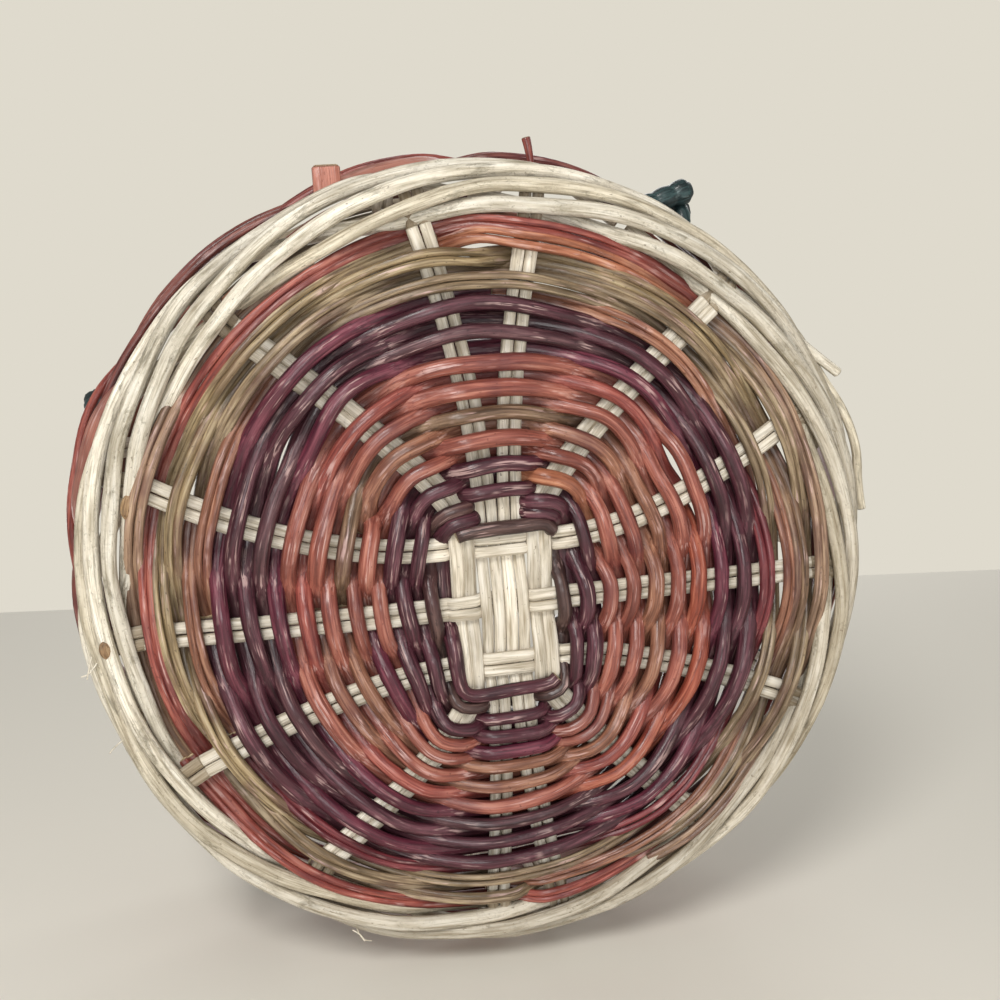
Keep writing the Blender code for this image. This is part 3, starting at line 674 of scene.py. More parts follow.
def lane_pitch(turn):
    return (edge_distance(turn) - heart_distance(turn)) / (ROWS + HALF_ROW)


# Places where light shows through: angle, row, half angle and how far the rows stand apart
LIGHT_GAPS = (
    (38.0, 15.8, 9.0, 0.0016), (54.0, 13.5, 9.0, 0.0022), (85.0, 21.8, 5.0, 0.0022),
    (84.0, 14.7, 9.0, 0.0016), (118.0, 9.2, 9.0, 0.0013), (86.0, 16.6, 8.0, 0.0014),
    (140.0, 12.6, 7.0, 0.0018), (20.0, 20.0, 7.0, 0.0012), (-10.0, 17.4, 6.0, 0.0010),
)


def sway(turn, row):
    """How far a row strays from its even lane: waves that neighbours share, and gaps."""
    settle = min(1.0, max(0.0, row / 3.0)) * min(1.0, max(0.0, (ROWS - row) / 1.5))
    waves = noise.noise(Vector((2.2 * cos(turn), 2.2 * sin(turn), row * 0.12))) * 0.0014
    apart = 0.0
    for angle, middle, half, push in LIGHT_GAPS:
        off = (turn - radians(angle) + pi) % TURN - pi
        near = off / radians(half)
        if abs(near) < 3.0 and abs(row - middle) < 6.0:
            side = 1.0 if row > middle else -1.0
            apart += side * push * exp(-near * near) * exp(-abs(row - middle) / 2.2)
    return waves * settle + apart


class Weaver:
    """The path of one of the two chasing weavers."""

    def __init__(self, start, parity, turned):
        self.start = start
        self.turned = turned
        self.flats = []
        for lap in range(-3, ROWS // ROWS_PER_TURN + 3):
            for grouped in (True, False):
                for number, group in enumerate(GROUPS if grouped else SINGLES):
                    self.meet(lap, grouped, number, group, parity)
        self.flats.sort()
        self.lows = [low for low, _, _, _ in self.flats]

    def meet(self, lap, grouped, number, group, parity):
        angles = []
        for index in (group[0], group[-1]):
            turn = SPOKES[index][0] + lap * TURN
            for _ in range(MEETING_STEPS):
                row = ROWS_PER_TURN * (turn - self.start) / TURN
                distance = lane_distance(turn, row)
                turn = spoke_turn(index, distance) + lap * TURN
            angles.append(turn)
        row = ROWS_PER_TURN * (sum(angles) / 2.0 - self.start) / TURN
        if (row < GROUP_ROWS) == grouped:
            side = 1.0 if (number + parity) % 2 else -1.0
            if row < FIRST_OVER_ROW and number in UPRIGHT_GROUPS:
                side = -1.0
            elif any(low < row < high for low, high in self.turned):
                side = -side
            reach = (PAIR_HALF_WIDTH + CROSSING_MARGIN) / distance
            self.flats.append((angles[0] - reach, angles[1] + reach, side, row))

    def row(self, turn):
        return ROWS_PER_TURN * (turn - self.start) / TURN

    def turn(self, row):
        return self.start + row * TURN / ROWS_PER_TURN

    def side(self, turn):
        """+1 above a spoke, -1 below it, and between on the way to the next."""
        i = bisect_right(self.lows, turn) - 1
        low, high, side, _ = self.flats[i]
        if turn <= high:
            return side
        next_low, _, next_side, _ = self.flats[i + 1]
        share = (turn - high) / (next_low - high)
        eased = 0.5 * smooth(share) + 0.5 * share
        return side + (next_side - side) * eased

    def hidden_meeting(self, row):
        """The spoke nearest to a row that the weaver passes above."""
        return min((abs(met - row), (low + high) / 2.0)
                   for low, high, side, met in self.flats if side > 0.0)[1]


WEAVERS = {"a": Weaver(WEAVE_START, 0, TURNED_ROWS["a"]),
           "b": Weaver(WEAVE_START + pi, 1, TURNED_ROWS["b"])}

# The rods of each weaver in turn: the row that it lasts to, and its finish
RODS = {
    "a": ((2.3, "dark_purple"), (3.8, "dark_purple"),
          (5.4, "dark_purple"), (5.95, "terracotta"),
          (6.6, "purple"), (7.9, "terracotta"),
          (8.74, "orange_brown"), (9.4, "olive_brown"),
          (10.6, "orange_brown"), (12.1, "terracotta"),
          (13.5, "terracotta"), (13.8, "red_orange"),
          (15.4, "grey_purple"), (17.2, "dark_purple"),
          (18.5, "dark_purple"), (19.1, "orange_brown"),
          (20.4, "olive"), (21.5, "olive_yellow"),
          (21.75, "olive_brown"), (22.3, "olive"), (23.35, "red"),
          (24.0, "tan")),
    "b": ((2.05, "black_brown"), (4.05, "dark_purple"),
          (4.5, "orange"), (6.1, "terracotta"),
          (7.9, "terracotta"), (9.1, "orange_brown"),
          (10.8, "terracotta"), (12.6, "red_terracotta"),
          (13.1, "red_orange"), (14.9, "purple"),
          (16.9, "dark_purple"), (18.0, "purple"),
          (18.5, "orange_brown"), (19.5, "purple_red"),
          (19.75, "orange_brown"), (20.6, "olive"),
          (21.0, "orange_brown"), (21.6, "olive"),
          (22.1, "olive_yellow"), (22.4, "orange"),
          (22.94, "olive"), (23.47, "red"), (24.0, "tan")),
}
BANDS = {
    "a": (("heart", 3), ("mixed", 9), ("terracotta", 14), ("purple", 17), ("amber", 19),
          ("olive", 22), ("red", 24)),
    "b": (("heart", 3), ("mixed", 6), ("terracotta", 13), ("purple", 19), ("olive", 24)),
}


def base_rod(piece, weaver, first, last, finish, seed, plain_start, plain_end):
    """One length of the base weave, a rod or two thin ones side by side. Where it follows
    another length, its end lies beside it, inside."""
    bulk = random.Random(seed).uniform(0.96, 1.12)
    tail = 0.005
    begin = first if plain_start else first - tail / lane_distance(first, weaver.row(first))
    stop = last if plain_end else last + tail / lane_distance(last, weaver.row(last))
    double = weaver.row((begin + stop) / 2.0) > DOUBLE_ROWS
    for strand, (aside, share_of_size) in enumerate(((-0.24, 0.52), (0.23, 0.48)) if double
                                                    else ((0.0, 1.0),)):
        own = seed + 50 * strand
        line, radii, deep = [], [], []
        turn = begin
        while turn < stop:
            row = weaver.row(turn)
            distance = lane_distance(turn, row)
            share = (turn - begin) / (stop - begin)
            size = lane_pitch(turn) * (1.20 + 0.12 * row / ROWS) * bulk * (1.04 - 0.10 * share)
            size *= 1.0 + 0.09 * full_side(turn)
            stray = sway(turn, row) + 0.0003 * wobble(own, turn * 2.5) + aside * size
            side = weaver.side(turn)
            from_start = (turn - begin) * distance
            from_end = (stop - turn) * distance
            tuck = 0.0
            if not plain_start and from_start < 0.024:
                tuck += 1.0 - smooth(from_start / 0.024)
                stray -= 0.0010 * (1.0 - smooth(from_start / 0.024))
            if not plain_end and from_end < 0.024:
                stray += 0.0010 * (1.0 - smooth(from_end / 0.024))
            place = CROSS + Vector((cos(turn), sin(turn))) * (distance + stray)
            thick = size * (0.72 if double else 1.0)
            height = base_height(place) + side * ((STICK_THICKNESS + thick) / 2.0 + 0.0001)
            height += tuck * 0.0022 + 0.0002 * wobble(own + 9.0, turn * 3.0)
            height += 0.10 * size * max(0.0, side)
            line.append(Vector((place.x, place.y, height)))
            fullness = 1.0 - 0.08 * (1.0 - abs(side)) + 0.46 * smooth((side + 0.5) / 1.1)
            radii.append(size * share_of_size / 2.0 * fullness)
            # Painted shade, darker the further this length passes behind a spoke
            deep.append(WEAVE_SHADE * smooth((side + 0.35) / 1.35))
            turn += SAMPLE_STEP / distance
        ups = [Vector((0.0, 0.0, 1.0))] * len(line)
        piece.add(line, ups, radii, finish, own, sides=10 if double else 14, flat=0.92,
                  both_worn=True, deep=deep)


def base_weave():
    seed = 100
    for letter, weaver in WEAVERS.items():
        bands = {name: Rods("base_rods_%s_%s" % (letter, name)) for name, _ in BANDS[letter]}
        limits = BANDS[letter]
        row = 0.0
        rods = RODS[letter]
        for number, (last_row, finish) in enumerate(rods):
            seed += 1
            first = weaver.turn(FIRST_ROW) if number == 0 else weaver.hidden_meeting(row)
            final = number == len(rods) - 1
            last = weaver.turn(last_row) if final else weaver.hidden_meeting(last_row)
            middle = (weaver.row(first) + weaver.row(last)) / 2.0
            band = [name for name, limit in limits if middle < limit][0]
            if last > first:
                base_rod(bands[band], weaver, first, last, finish, seed, number == 0, final)
            row = last_row
        for name, piece in bands.items():
            piece.finish(["base_weaver_%s_%s" % (letter, name)])


def base_sticks():
    number = 0
    for pair in PAIRS:
        for side in (1.0, -1.0):
            number += 1
            chance = random.Random(number)
            line = []
            left = list(reversed(pair.spoke(False, 36)))
            right = pair.spoke(True, 36)
            middle = []
            steps = 30
            for i in range(1, steps):
                run = -pair.half_run + 2.0 * pair.half_run * i / steps
                middle.append(pair.place(run, pair.offset))
            plan = left + middle + right
            runs = [-pair.half_run - 0.005] * len(left)
            runs += [-pair.half_run + 2.0 * pair.half_run * i / steps for i in range(1, steps)]
            runs += [pair.half_run + 0.005] * len(right)
            for i, place in enumerate(plan):
                ahead = (plan[min(i + 1, len(plan) - 1)] - plan[max(i - 1, 0)]).normalized()
                across = Vector((-ahead.y, ahead.x))
                drift = 0.00012 * wobble(number + 40.0, i * 0.11)
                centre = place + across * (side * STICK_STEP / 2.0 + drift)
                height = base_height(place) + pair.lift(runs[i]) * INTERLACE
                line.append(Vector((centre.x, centre.y, height)))
            line[0] += (line[0] - line[1]).normalized() * (END_GAP - 0.0001)
            line[-1] += (line[-1] - line[-2]).normalized() * (END_GAP - 0.0001)
            width = STICK_WIDTH * (SIDE_STRIP_FULLNESS if number in (1, 2, 7, 8) else 1.0)
            radii = [width / 2.0 * (1.0 + 0.03 * chance.random())] * len(line)
            piece = Rods("base_stick_rod_%02d" % number)
            piece.add(line, [Vector((0.0, 0.0, 1.0))] * len(line), radii, "peeled", number,
                      sides=14, flat=STICK_THICKNESS / STICK_WIDTH, square=2.4, knots=0.05,
                      both_worn=True)
            piece.finish(["base_stick_%02d" % number])


# Foot wale: radius and height of a strand on its way round the bundle. It runs outwards along
# the shown side, goes back behind the stakes and comes out again
WALE_SHOWN = ((0.1243, 0.0080), (0.1250, 0.0050), (0.1266, 0.0032), (0.1292, 0.0027),
              (0.1326, 0.0033), (0.1358, 0.0051), (0.1382, 0.0082), (0.1395, 0.0118),
              (0.1398, 0.0152))
WALE_HIDDEN = ((0.1386, 0.0186), (0.1350, 0.0204), (0.1305, 0.0186), (0.1262, 0.0132))
# The same where the weave reaches further out
OUTER_SHOWN = ((0.1300, 0.0088), (0.1307, 0.0058), (0.1322, 0.0038), (0.1345, 0.0034),
               (0.1368, 0.0046), (0.1386, 0.0074), (0.1396, 0.0110), (0.1400, 0.0150),
               (0.1400, 0.0186))
OUTER_HIDDEN = ((0.1388, 0.0216), (0.1360, 0.0230), (0.1330, 0.0212), (0.1308, 0.0150))


def through(points, share):
    """Point on a smooth closed curve through the points."""
    count = len(points)
    place = (share % 1.0) * count
    i = int(place)
    t = place - i
    a, b, c, d = (points[(i + k) % count] for k in (-1, 0, 1, 2))
    return (b * 2.0 + (c - a) * t + (a * 2.0 - b * 5.0 + c * 4.0 - d) * t * t
            + (b * 3.0 - a - c * 3.0 + d) * t ** 3) * 0.5


def wale_way(shown, hidden):
    """Places round the bundle, evenly spread over the shown side and over the hidden one."""
    loop = [Vector(place) for place in shown + hidden]
    samples = [through(loop, i / 400.0) for i in range(401)]
    limit = int(400.0 * (len(shown) - 1) / len(loop))
    way = []
    for part, share in ((samples[:limit + 1], WALE_SHOWN_SHARE),
                        (samples[limit:], 1.0 - WALE_SHOWN_SHARE)):
        lengths = [0.0]
        for before, after in zip(part, part[1:]):
            lengths.append(lengths[-1] + (after - before).length)
        base = way[-1][0] if way else 0.0
        way += [(base + share * length / lengths[-1], point)
                for length, point in zip(lengths, part)]
    return [phase for phase, _ in way], [point for _, point in way]


WALE_WAYS = (wale_way(WALE_SHOWN, WALE_HIDDEN), wale_way(OUTER_SHOWN, OUTER_HIDDEN))


def wale_place(phase, turn):
    """Radius and height of a strand at a phase of its way round the bundle."""
    phase %= 1.0
    places = []
    for phases, points in WALE_WAYS:
        i = min(max(1, bisect_right(phases, phase)), len(points) - 1)
        span = phases[i] - phases[i - 1]
        share = (phase - phases[i - 1]) / span if span > 0.0 else 0.0
        places.append(points[i - 1] + (points[i] - points[i - 1]) * share)
    return places[0] + (places[1] - places[0]) * full_side(turn)


# Loose ends of the ring: places in plan, height and thickness of each
CUT_STRAND = ((-0.0852, 0.0988), (-0.0934, 0.0946), (-0.1025, 0.0882), (-0.1113, 0.0817),
              (-0.1207, 0.0747), (-0.1298, 0.0684))
BOWED_ROD = ((-0.1062, 0.0900, 0.0200), (-0.1103, 0.0880, 0.0170), (-0.1162, 0.0812, 0.0145),
             (-0.1214, 0.0726, 0.0130), (-0.1266, 0.0652, 0.0130), (-0.1326, 0.0572, 0.0130),
             (-0.1375, 0.0485, 0.0130), (-0.1408, 0.0390, 0.0130), (-0.1418, 0.0294, 0.0130),
             (-0.1430, 0.0217, 0.0130), (-0.1441, 0.0167, 0.0130))
SHORT_STUB = ((0.1216, 0.0724), (0.1197, 0.0714), (0.1179, 0.0701))
RING_LOOSE = ((CUT_STRAND, 0.0090, 0.0040, "white"), (BOWED_ROD, 0.0, 0.0036, "willow"),
              (SHORT_STUB, 0.0120, 0.0038, "white"))
RING_FIBRES = (((0.0950, 0.0944), (0.0969, 0.0937), (0.0980, 0.0918), (0.0968, 0.0905),
                (0.0949, 0.0912)),
               ((0.1364, -0.0239), (0.1376, -0.0284), (0.1384, -0.0318)),
               ((0.1349, -0.0264), (0.1376, -0.0298), (0.1403, -0.0310)),
               ((0.1281, -0.0540), (0.1309, -0.0564), (0.1326, -0.0584)),
               ((0.0521, -0.1317), (0.0492, -0.1340), (0.0478, -0.1365)),
               ((0.0506, -0.1311), (0.0485, -0.1356), (0.0452, -0.1368)))
FIBRE_HEIGHTS = (0.0022, 0.0042, 0.0046, 0.0050, 0.0056, 0.0058)
RING_KNOTS = ((37.4, 0.1249, 0.0060), (12.3, 0.1262, 0.0086), (350.8, 0.1338, 0.0060))


def curve_through(places, steps=6):
    """Smooth line through places, both ends included."""
    line = []
    last = len(places) - 1
    for i in range(last):
        a, b = places[max(i - 1, 0)], places[i]
        c, d = places[i + 1], places[min(i + 2, last)]
        for k in range(steps):
            t = k / steps
            line.append((b * 2.0 + (c - a) * t + (a * 2.0 - b * 5.0 + c * 4.0 - d) * t * t
                         + (b * 3.0 - a - c * 3.0 + d) * t ** 3) * 0.5)
    line.append(places[last])
    return line


def loose_rod(piece, plan, height, width, finish, seed, sides=14):
    """A rod end that stands away from the work, through places at one height or their own."""
    line = curve_through([Vector((tuple(place) + (height,))[:3]) for place in plan])
    radii = [width / 2.0 * (1.04 - 0.12 * i / len(line)) for i in range(len(line))]
    piece.add(line, [Vector((0.0, 0.0, 1.0))] * len(line), radii, finish, seed, sides=sides,
              crest=-1.0, knots=0.16)


def knot(piece, centre, ahead, length, width, seed):
    """A brown knot, a low oval lump on a rod."""
    line, radii = [], []
    for i in range(9):
        share = 2.0 * i / 8.0 - 1.0
        line.append(centre + ahead * (share * length / 2.0))
        radii.append(width / 2.0 * (1.0 - 0.96 * share * share) ** 0.5)
    piece.add(line, [Vector((0.0, 0.0, 1.0))] * 9, radii, "knot", seed, sides=10, flat=0.5,
              crest=-1.0, knots=0.0)


def ring_trimmings(piece):
    """What stands away from the ring: cut ends, a bowed rod, torn fibres and knots."""
    for number, (plan, height, width, finish) in enumerate(RING_LOOSE):
        loose_rod(piece, plan, height, width, finish, 340 + number)
    for number, (plan, height) in enumerate(zip(RING_FIBRES, FIBRE_HEIGHTS)):
        loose_rod(piece, plan, height, 0.0005, "white", 350 + number, sides=6)
    for number, (angle, radius, length) in enumerate(RING_KNOTS):
        turn = radians(angle)
        place = wale_strand_near(radius, turn)
        centre = Vector((place.x * cos(turn), place.x * sin(turn),
                         place.y - WALE_ROD / 2.0 + 0.0002))
        ahead = Vector((-sin(turn), cos(turn), 0.0))
        knot(piece, centre, ahead, length, 0.58 * length, 360 + number)


def wale_strand_near(radius, turn):
    """Middle of the strand that lies nearest to a radius on the ring's shown side."""
    period = TURN * WALE_STRANDS / WALE_STROKES
    phases = [(turn + TURN * lap) / period % 1.0 for lap in range(WALE_STRANDS)]
    places = [wale_place(phase, turn) for phase in phases if phase < WALE_SHOWN_SHARE]
    return min(places, key=lambda place: abs(place.x - radius))


def foot_wale():
    """One strand that goes round as many times as there are strands, pieced from rods."""
    period = TURN * WALE_STRANDS / WALE_STROKES
    hidden = (WALE_SHOWN_SHARE + 1.0) / 2.0
    step = 0.0026 / 0.137
    joins = [(round(lap * TURN / period) + hidden) * period for lap in range(WALE_STRANDS)]
    joins.append(joins[0] + TURN * WALE_STRANDS)
    finishes = ("white", "willow", "white", "white", "white")
    for number, (begin, end) in enumerate(zip(joins, joins[1:])):
        piece = Rods("foot_wale_strand_%d" % (number + 1))
        line, radii, ups, deep = [], [], [], []
        begin += 0.01
        end -= 0.02
        turn = begin
        while turn < end:
            share = (turn - begin) / (end - begin)
            place = wale_place(turn / period, turn)
            radius = place.x + 0.0010 * wobble(number, turn * 4.0)
            height = place.y + 0.0006 * wobble(number + 5.0, turn * 4.0)
            line.append(Vector((radius * cos(turn), radius * sin(turn), height)))
            size = WALE_ROD * (1.12 - 0.10 * share) * (1.0 + 0.05 * wobble(number + 8.0, turn * 6.0))
            radii.append(size / 2.0)
            ups.append(Vector((0.0, 0.0, 1.0)))
            # Painted shade towards the side away from the light, plus a few random dark spots
            away_from_light = smooth(0.5 + 0.5 * cos(turn - PAINTED_SHADE_SIDE))
            deep.append(0.40 * away_from_light + 0.06 * max(0.0, wobble(number + 2.0, turn * 8.0)))
            turn += step
        piece.add(line, ups, radii, finishes[number], 300 + number, sides=16, crest=-1.0,
                  deep=deep)
        if number == 0:
            ring_trimmings(piece)
        piece.finish(["foot_wale_rod_%d" % (number + 1)])


# The wall, as a profile of the side stakes in radius and height

STAKE_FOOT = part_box("foot_wale_rod_5")
STAKE_FOOT_HEIGHT = (STAKE_FOOT[0].z + STAKE_FOOT[1].z) / 2.0
WALE_TOP_RADIUS = (STAKE_FOOT[1].x - STAKE_FOOT[0].x) / 2.0 - WALE_ROD / 2.0
WALE_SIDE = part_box("foot_wale_rod_4")
RING_SHARE = cos(pi / 32)
STAKE_FOOT_RADIUS = WALE_TOP_RADIUS * RING_SHARE - WALE_ROD / 2.0 - STAKE_SEAT - 0.0007
STAKE_BEND_RADIUS = ((WALE_SIDE[1].x - WALE_SIDE[0].x) / 2.0 - WALE_ROD / 2.0) * RING_SHARE
STAKE_BEND_RADIUS -= WALE_ROD / 2.0 + STAKE_SEAT


def wall_radius(height):
    if height < BELLY_HEIGHT:
        share = (BELLY_HEIGHT - height) / (BELLY_HEIGHT - STAKE_FOOT_HEIGHT)
        return BELLY_RADIUS - (BELLY_RADIUS - STAKE_FOOT_RADIUS) * max(0.0, share) ** FLARE_POWER
    share = (height - BELLY_HEIGHT) / (STAKE_TOP - BELLY_HEIGHT)
    return BELLY_RADIUS - (BELLY_RADIUS - RIM_RADIUS) * share ** 2


def wall_side(parity, turn):
    """+1 outside a stake, -1 inside, smooth between."""
    angles = STAKE_ANGLES
    turn %= TURN
    count = len(angles)
    i = bisect_right(angles, turn) - 1
    low = angles[i] if i >= 0 else angles[-1] - TURN
    high = angles[i + 1] if i + 1 < count else angles[0] + TURN
    number = i if i >= 0 else count - 1
    side = 1.0 if (number + parity) % 2 else -1.0
    reach = (STICK_STEP + 0.0008) / BELLY_RADIUS
    share = (turn - low - reach) / (high - low - 2.0 * reach)
    share = min(1.0, max(0.0, share))
    eased = 0.5 - 0.5 * cos(pi * share)
    return side * (1.0 - 2.0 * eased)


def side_stakes():
    bend_radius = STAKE_BEND_RADIUS - STAKE_BEND
    middle = Vector((bend_radius, BASE_PLANE + STAKE_BEND))
    profile = [Vector((SPOKE_END + END_GAP, BASE_PLANE)),
               Vector(((SPOKE_END + bend_radius) / 2.0, BASE_PLANE)),
               Vector((bend_radius, BASE_PLANE))]
    for share in (0.35, 0.70):
        angle = share * pi / 2.0
        profile.append(middle + Vector((sin(angle), -cos(angle))) * STAKE_BEND)
    for k in range(14):
        height = STAKE_FOOT_HEIGHT + (STAKE_TOP - STAKE_FOOT_HEIGHT) * (k / 13.0) ** 1.3
        profile.append(Vector((wall_radius(height), height)))
    dense = []
    for i in range(len(profile) - 1):
        a, b = profile[max(i - 1, 0)], profile[i]
        c, d = profile[i + 1], profile[min(i + 2, len(profile) - 1)]
        for k in range(3):
            t = k / 3.0
            dense.append((b * 2.0 + (c - a) * t + (a * 2.0 - b * 5.0 + c * 4.0 - d) * t * t
                          + (b * 3.0 - a - c * 3.0 + d) * t ** 3) * 0.5)
    dense.append(profile[-1])
    for number, angle in enumerate(STAKE_ANGLES):
        piece = Rods("side_stake_rods_%02d" % (number + 1))
        for side in (1.0, -1.0):
            line, ups = [], []
            across = Vector((-sin(angle), cos(angle), 0.0))
            for i, place in enumerate(dense):
                ahead = dense[min(i + 1, len(dense) - 1)] - dense[max(i - 1, 0)]
                ahead.normalize()
                centre = Vector((place.x * cos(angle), place.x * sin(angle), place.y))
                line.append(centre + across * (side * STICK_STEP / 2.0))
                ups.append(Vector((-ahead.y * cos(angle), -ahead.y * sin(angle), ahead.x)))
            radii = [STICK_WIDTH / 2.0] * len(line)
            piece.add(line, ups, radii, "peeled", 500 + number * 2 + side, sides=10,
                      flat=STAKE_THICKNESS / STICK_WIDTH, square=2.3, knots=0.04)
        piece.finish(["side_stake_%02d" % (number + 1)])


def ring_line(height_at, parity, lift, turns=1.0, start=0.0, step=0.004, bulge=0.0,
              tilt=0.0, bulges=()):
    """A row round the wall, in and out of the stakes. Where it is outside them it bulges and
    leans outwards by the tilt, and round some angles it stands out further, but not at its
    ends."""
    count = int(TURN * turns * BELLY_RADIUS / step)
    line, ups = [], []
    closed = turns == 1.0
    for i in range(count if closed else count + 1):
        turn = start + TURN * turns * i / count
        height = height_at(i / count)
        side = wall_side(parity, turn)
        outside = smooth(side)
        radius = wall_radius(height) + side * lift + outside * bulge
        held = 1.0 if closed else smooth(min(i, count - i) * step / BULGE_RUN)
        for angle, spread, push in bulges:
            off = ((turn - radians(angle) + pi) % TURN - pi) / radians(spread)
            if abs(off) < 3.0:
                low = smooth((BULGE_TOP - height) / 0.010)
                radius += push * exp(-off * off) * low * held
        radius += 0.0003 * wobble(lift * 1000.0 + parity, sin(turn) * 4.0)
        line.append(Vector((radius * cos(turn), radius * sin(turn), height)))
        lean = tilt * (0.25 + 0.75 * outside)
        ups.append(Vector((cos(turn) * cos(lean), sin(turn) * cos(lean), -sin(lean))))
    return line, ups, closed


def box_middle(node):
    low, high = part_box(node)
    return (low.z + high.z) / 2.0


def splint_bands():
    for node, parity in (("splint_band_lower", 1), ("splint_band_upper", 0)):
        middle = box_middle(node)
        lift = STAKE_SEAT + BEND_SLACK + SPLINT_THICKNESS / 2.0
        bulge, tilt = (0.0012, radians(32.0)) if parity else (0.0004, 0.0)
        line, ups, closed = ring_line(lambda share: middle, parity, lift, step=0.003,
                                      bulge=bulge, tilt=tilt, bulges=BAND_BULGES)
        piece = Rods(node.replace("band", "strip"))
        radii = [SPLINT_HEIGHT / 2.0] * len(line)
        piece.add(line, ups, radii, "splint", 600 + parity, sides=16,
                  flat=SPLINT_THICKNESS / SPLINT_HEIGHT, square=5.0, closed=True, knots=0.0)
        piece.finish([node])


def wall_weavers():
    lift = STAKE_SEAT + BEND_SLACK + WALL_ROD / 2.0 - 0.0005
    for letter, parity, start, finish in (("a", 0, 0.0, "maroon"), ("b", 1, pi, "red_terracotta")):
        low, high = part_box("wall_weaver_" + letter)
        bottom, top = low.z + WALL_ROD_LIFT + WALL_ROD / 2.0, high.z - WALL_ROD / 2.0
        line, ups, _ = ring_line(lambda share: bottom + (top - bottom) * share, parity, lift,
                                 turns=float(WALL_TURNS), start=start, tilt=WALL_ROD_TILT,
                                 bulges=ROD_BULGES)
        piece = Rods("wall_rods_" + letter)
        radii = [WALL_ROD / 2.0 * 1.04] * len(line)
        piece.add(line, ups, radii, finish, 620 + parity)
        piece.finish(["wall_weaver_" + letter], "maroon_rod")


def upper_rods():
    lift = STAKE_SEAT + BEND_SLACK + UPPER_ROD / 2.0
    for node, parity, finish in (("upper_rod_high", 0, "purple"),
                                 ("upper_rod_low", 1, "orange_brown")):
        middle = box_middle(node)
        line, ups, _ = ring_line(lambda share: middle, parity, lift)
        piece = Rods(node + "_willow")
        piece.add(line, ups, [UPPER_ROD / 2.0] * len(line), finish, 640 + parity, closed=True)
        piece.finish([node])


def rim():
    for number, node in enumerate(("rim_rod_inner", "rim_rod_outer", "rim_rod_top")):
        low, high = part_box(node)
        radius = (high.x - low.x) / 2.0 - RIM_ROD / 2.0
        middle = (low.z + high.z) / 2.0
        line = []
        for i in range(220):
            turn = TURN * i / 220
            reach = radius + 0.0002 * wobble(number + 60.0, sin(turn) * 3.0)
            line.append(Vector((reach * cos(turn), reach * sin(turn), middle)))
        ups = [Vector((0.0, 0.0, 1.0))] * len(line)
        piece = Rods(node + "_willow")
        piece.add(line, ups, [RIM_ROD / 2.0] * len(line), "white", 660 + number, closed=True)
        piece.finish([node])


def lug_loops():
    """Standing loops of two twisted rods, on the line of each CAD loop."""
    for number, (angle, share, rod) in enumerate(zip(LUG_ANGLES, LUG_REACH_SHARES, LUG_RODS)):
        node = "lug_loop_%d" % (number + 1)
        low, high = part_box(node)
        bottom, top = low.z + rod * 0.75, high.z - rod * 0.75
        foot = max(wall_radius(bottom), wall_radius(top)) + 0.0066
        handle = LUG_REACH * share / BEZIER_REACH_SHARE
        points = (Vector((foot - 0.005, bottom)), Vector((foot + handle - 0.002, bottom)),
                  Vector((foot + handle - 0.002, top)), Vector((foot - 0.005, top)))
        piece = Rods("lug_rods_%d" % (number + 1))
        steps = 34
        for strand in (0.0, pi):
            line, ups = [], []
            for k in range(steps + 1):
                t = k / steps
                weights = ((1 - t) ** 3, 3 * t * (1 - t) ** 2, 3 * t * t * (1 - t), t ** 3)
                slopes = (-(1 - t) ** 2, (1 - t) ** 2 - 2 * t * (1 - t), 2 * t * (1 - t) - t * t,
                          t * t)
                place = sum((p * w for p, w in zip(points, weights)), Vector((0.0, 0.0)))
                ahead = sum((p * w for p, w in zip(points, slopes)), Vector((0.0, 0.0)))
                ahead.normalize()
                sideways = Vector((-sin(angle), cos(angle), 0.0))
                across = Vector((ahead.y * cos(angle), ahead.y * sin(angle), -ahead.x))
                twist = pi / 2.0 + t * LUG_TWISTS * TURN + strand
                off = (sideways * cos(twist) + across * sin(twist)) * (rod * 0.47)
                centre = Vector((place.x * cos(angle), place.x * sin(angle), place.y))
                line.append(centre + off)
                ups.append(off.normalized())
            piece.add(line, ups, [rod / 2.0] * len(line), "green", 700 + number + strand,
                      knots=0.06)
        if number == 1:
            wrap(piece, bottom)
        piece.finish([node])


def wrap(piece, height):
    """The rods' ends wound into a lump that closes the loop's hole and leans to one side."""
    start = Vector((WRAP_START[0], WRAP_START[1], height))
    reach = Vector((WRAP_END[0], WRAP_END[1], height + 0.001)) - start
    steps = 30
    line, radii = [], []
    for k in range(steps + 1):
        share = k / steps
        line.append(start + reach * share)
        girth = 0.74 + 0.20 * share + 0.14 * abs(sin(WRAP_COILS * pi * share))
        radii.append(WRAP_ROD * girth * (1.0 - 0.30 * smooth((share - 0.90) / 0.10)))
    piece.add(line, [Vector((0.0, 0.0, 1.0))] * len(line), radii, "green", 710, sides=18,
              crest=-1.0, knots=0.0, square=2.6, cut_ends=(False, False))


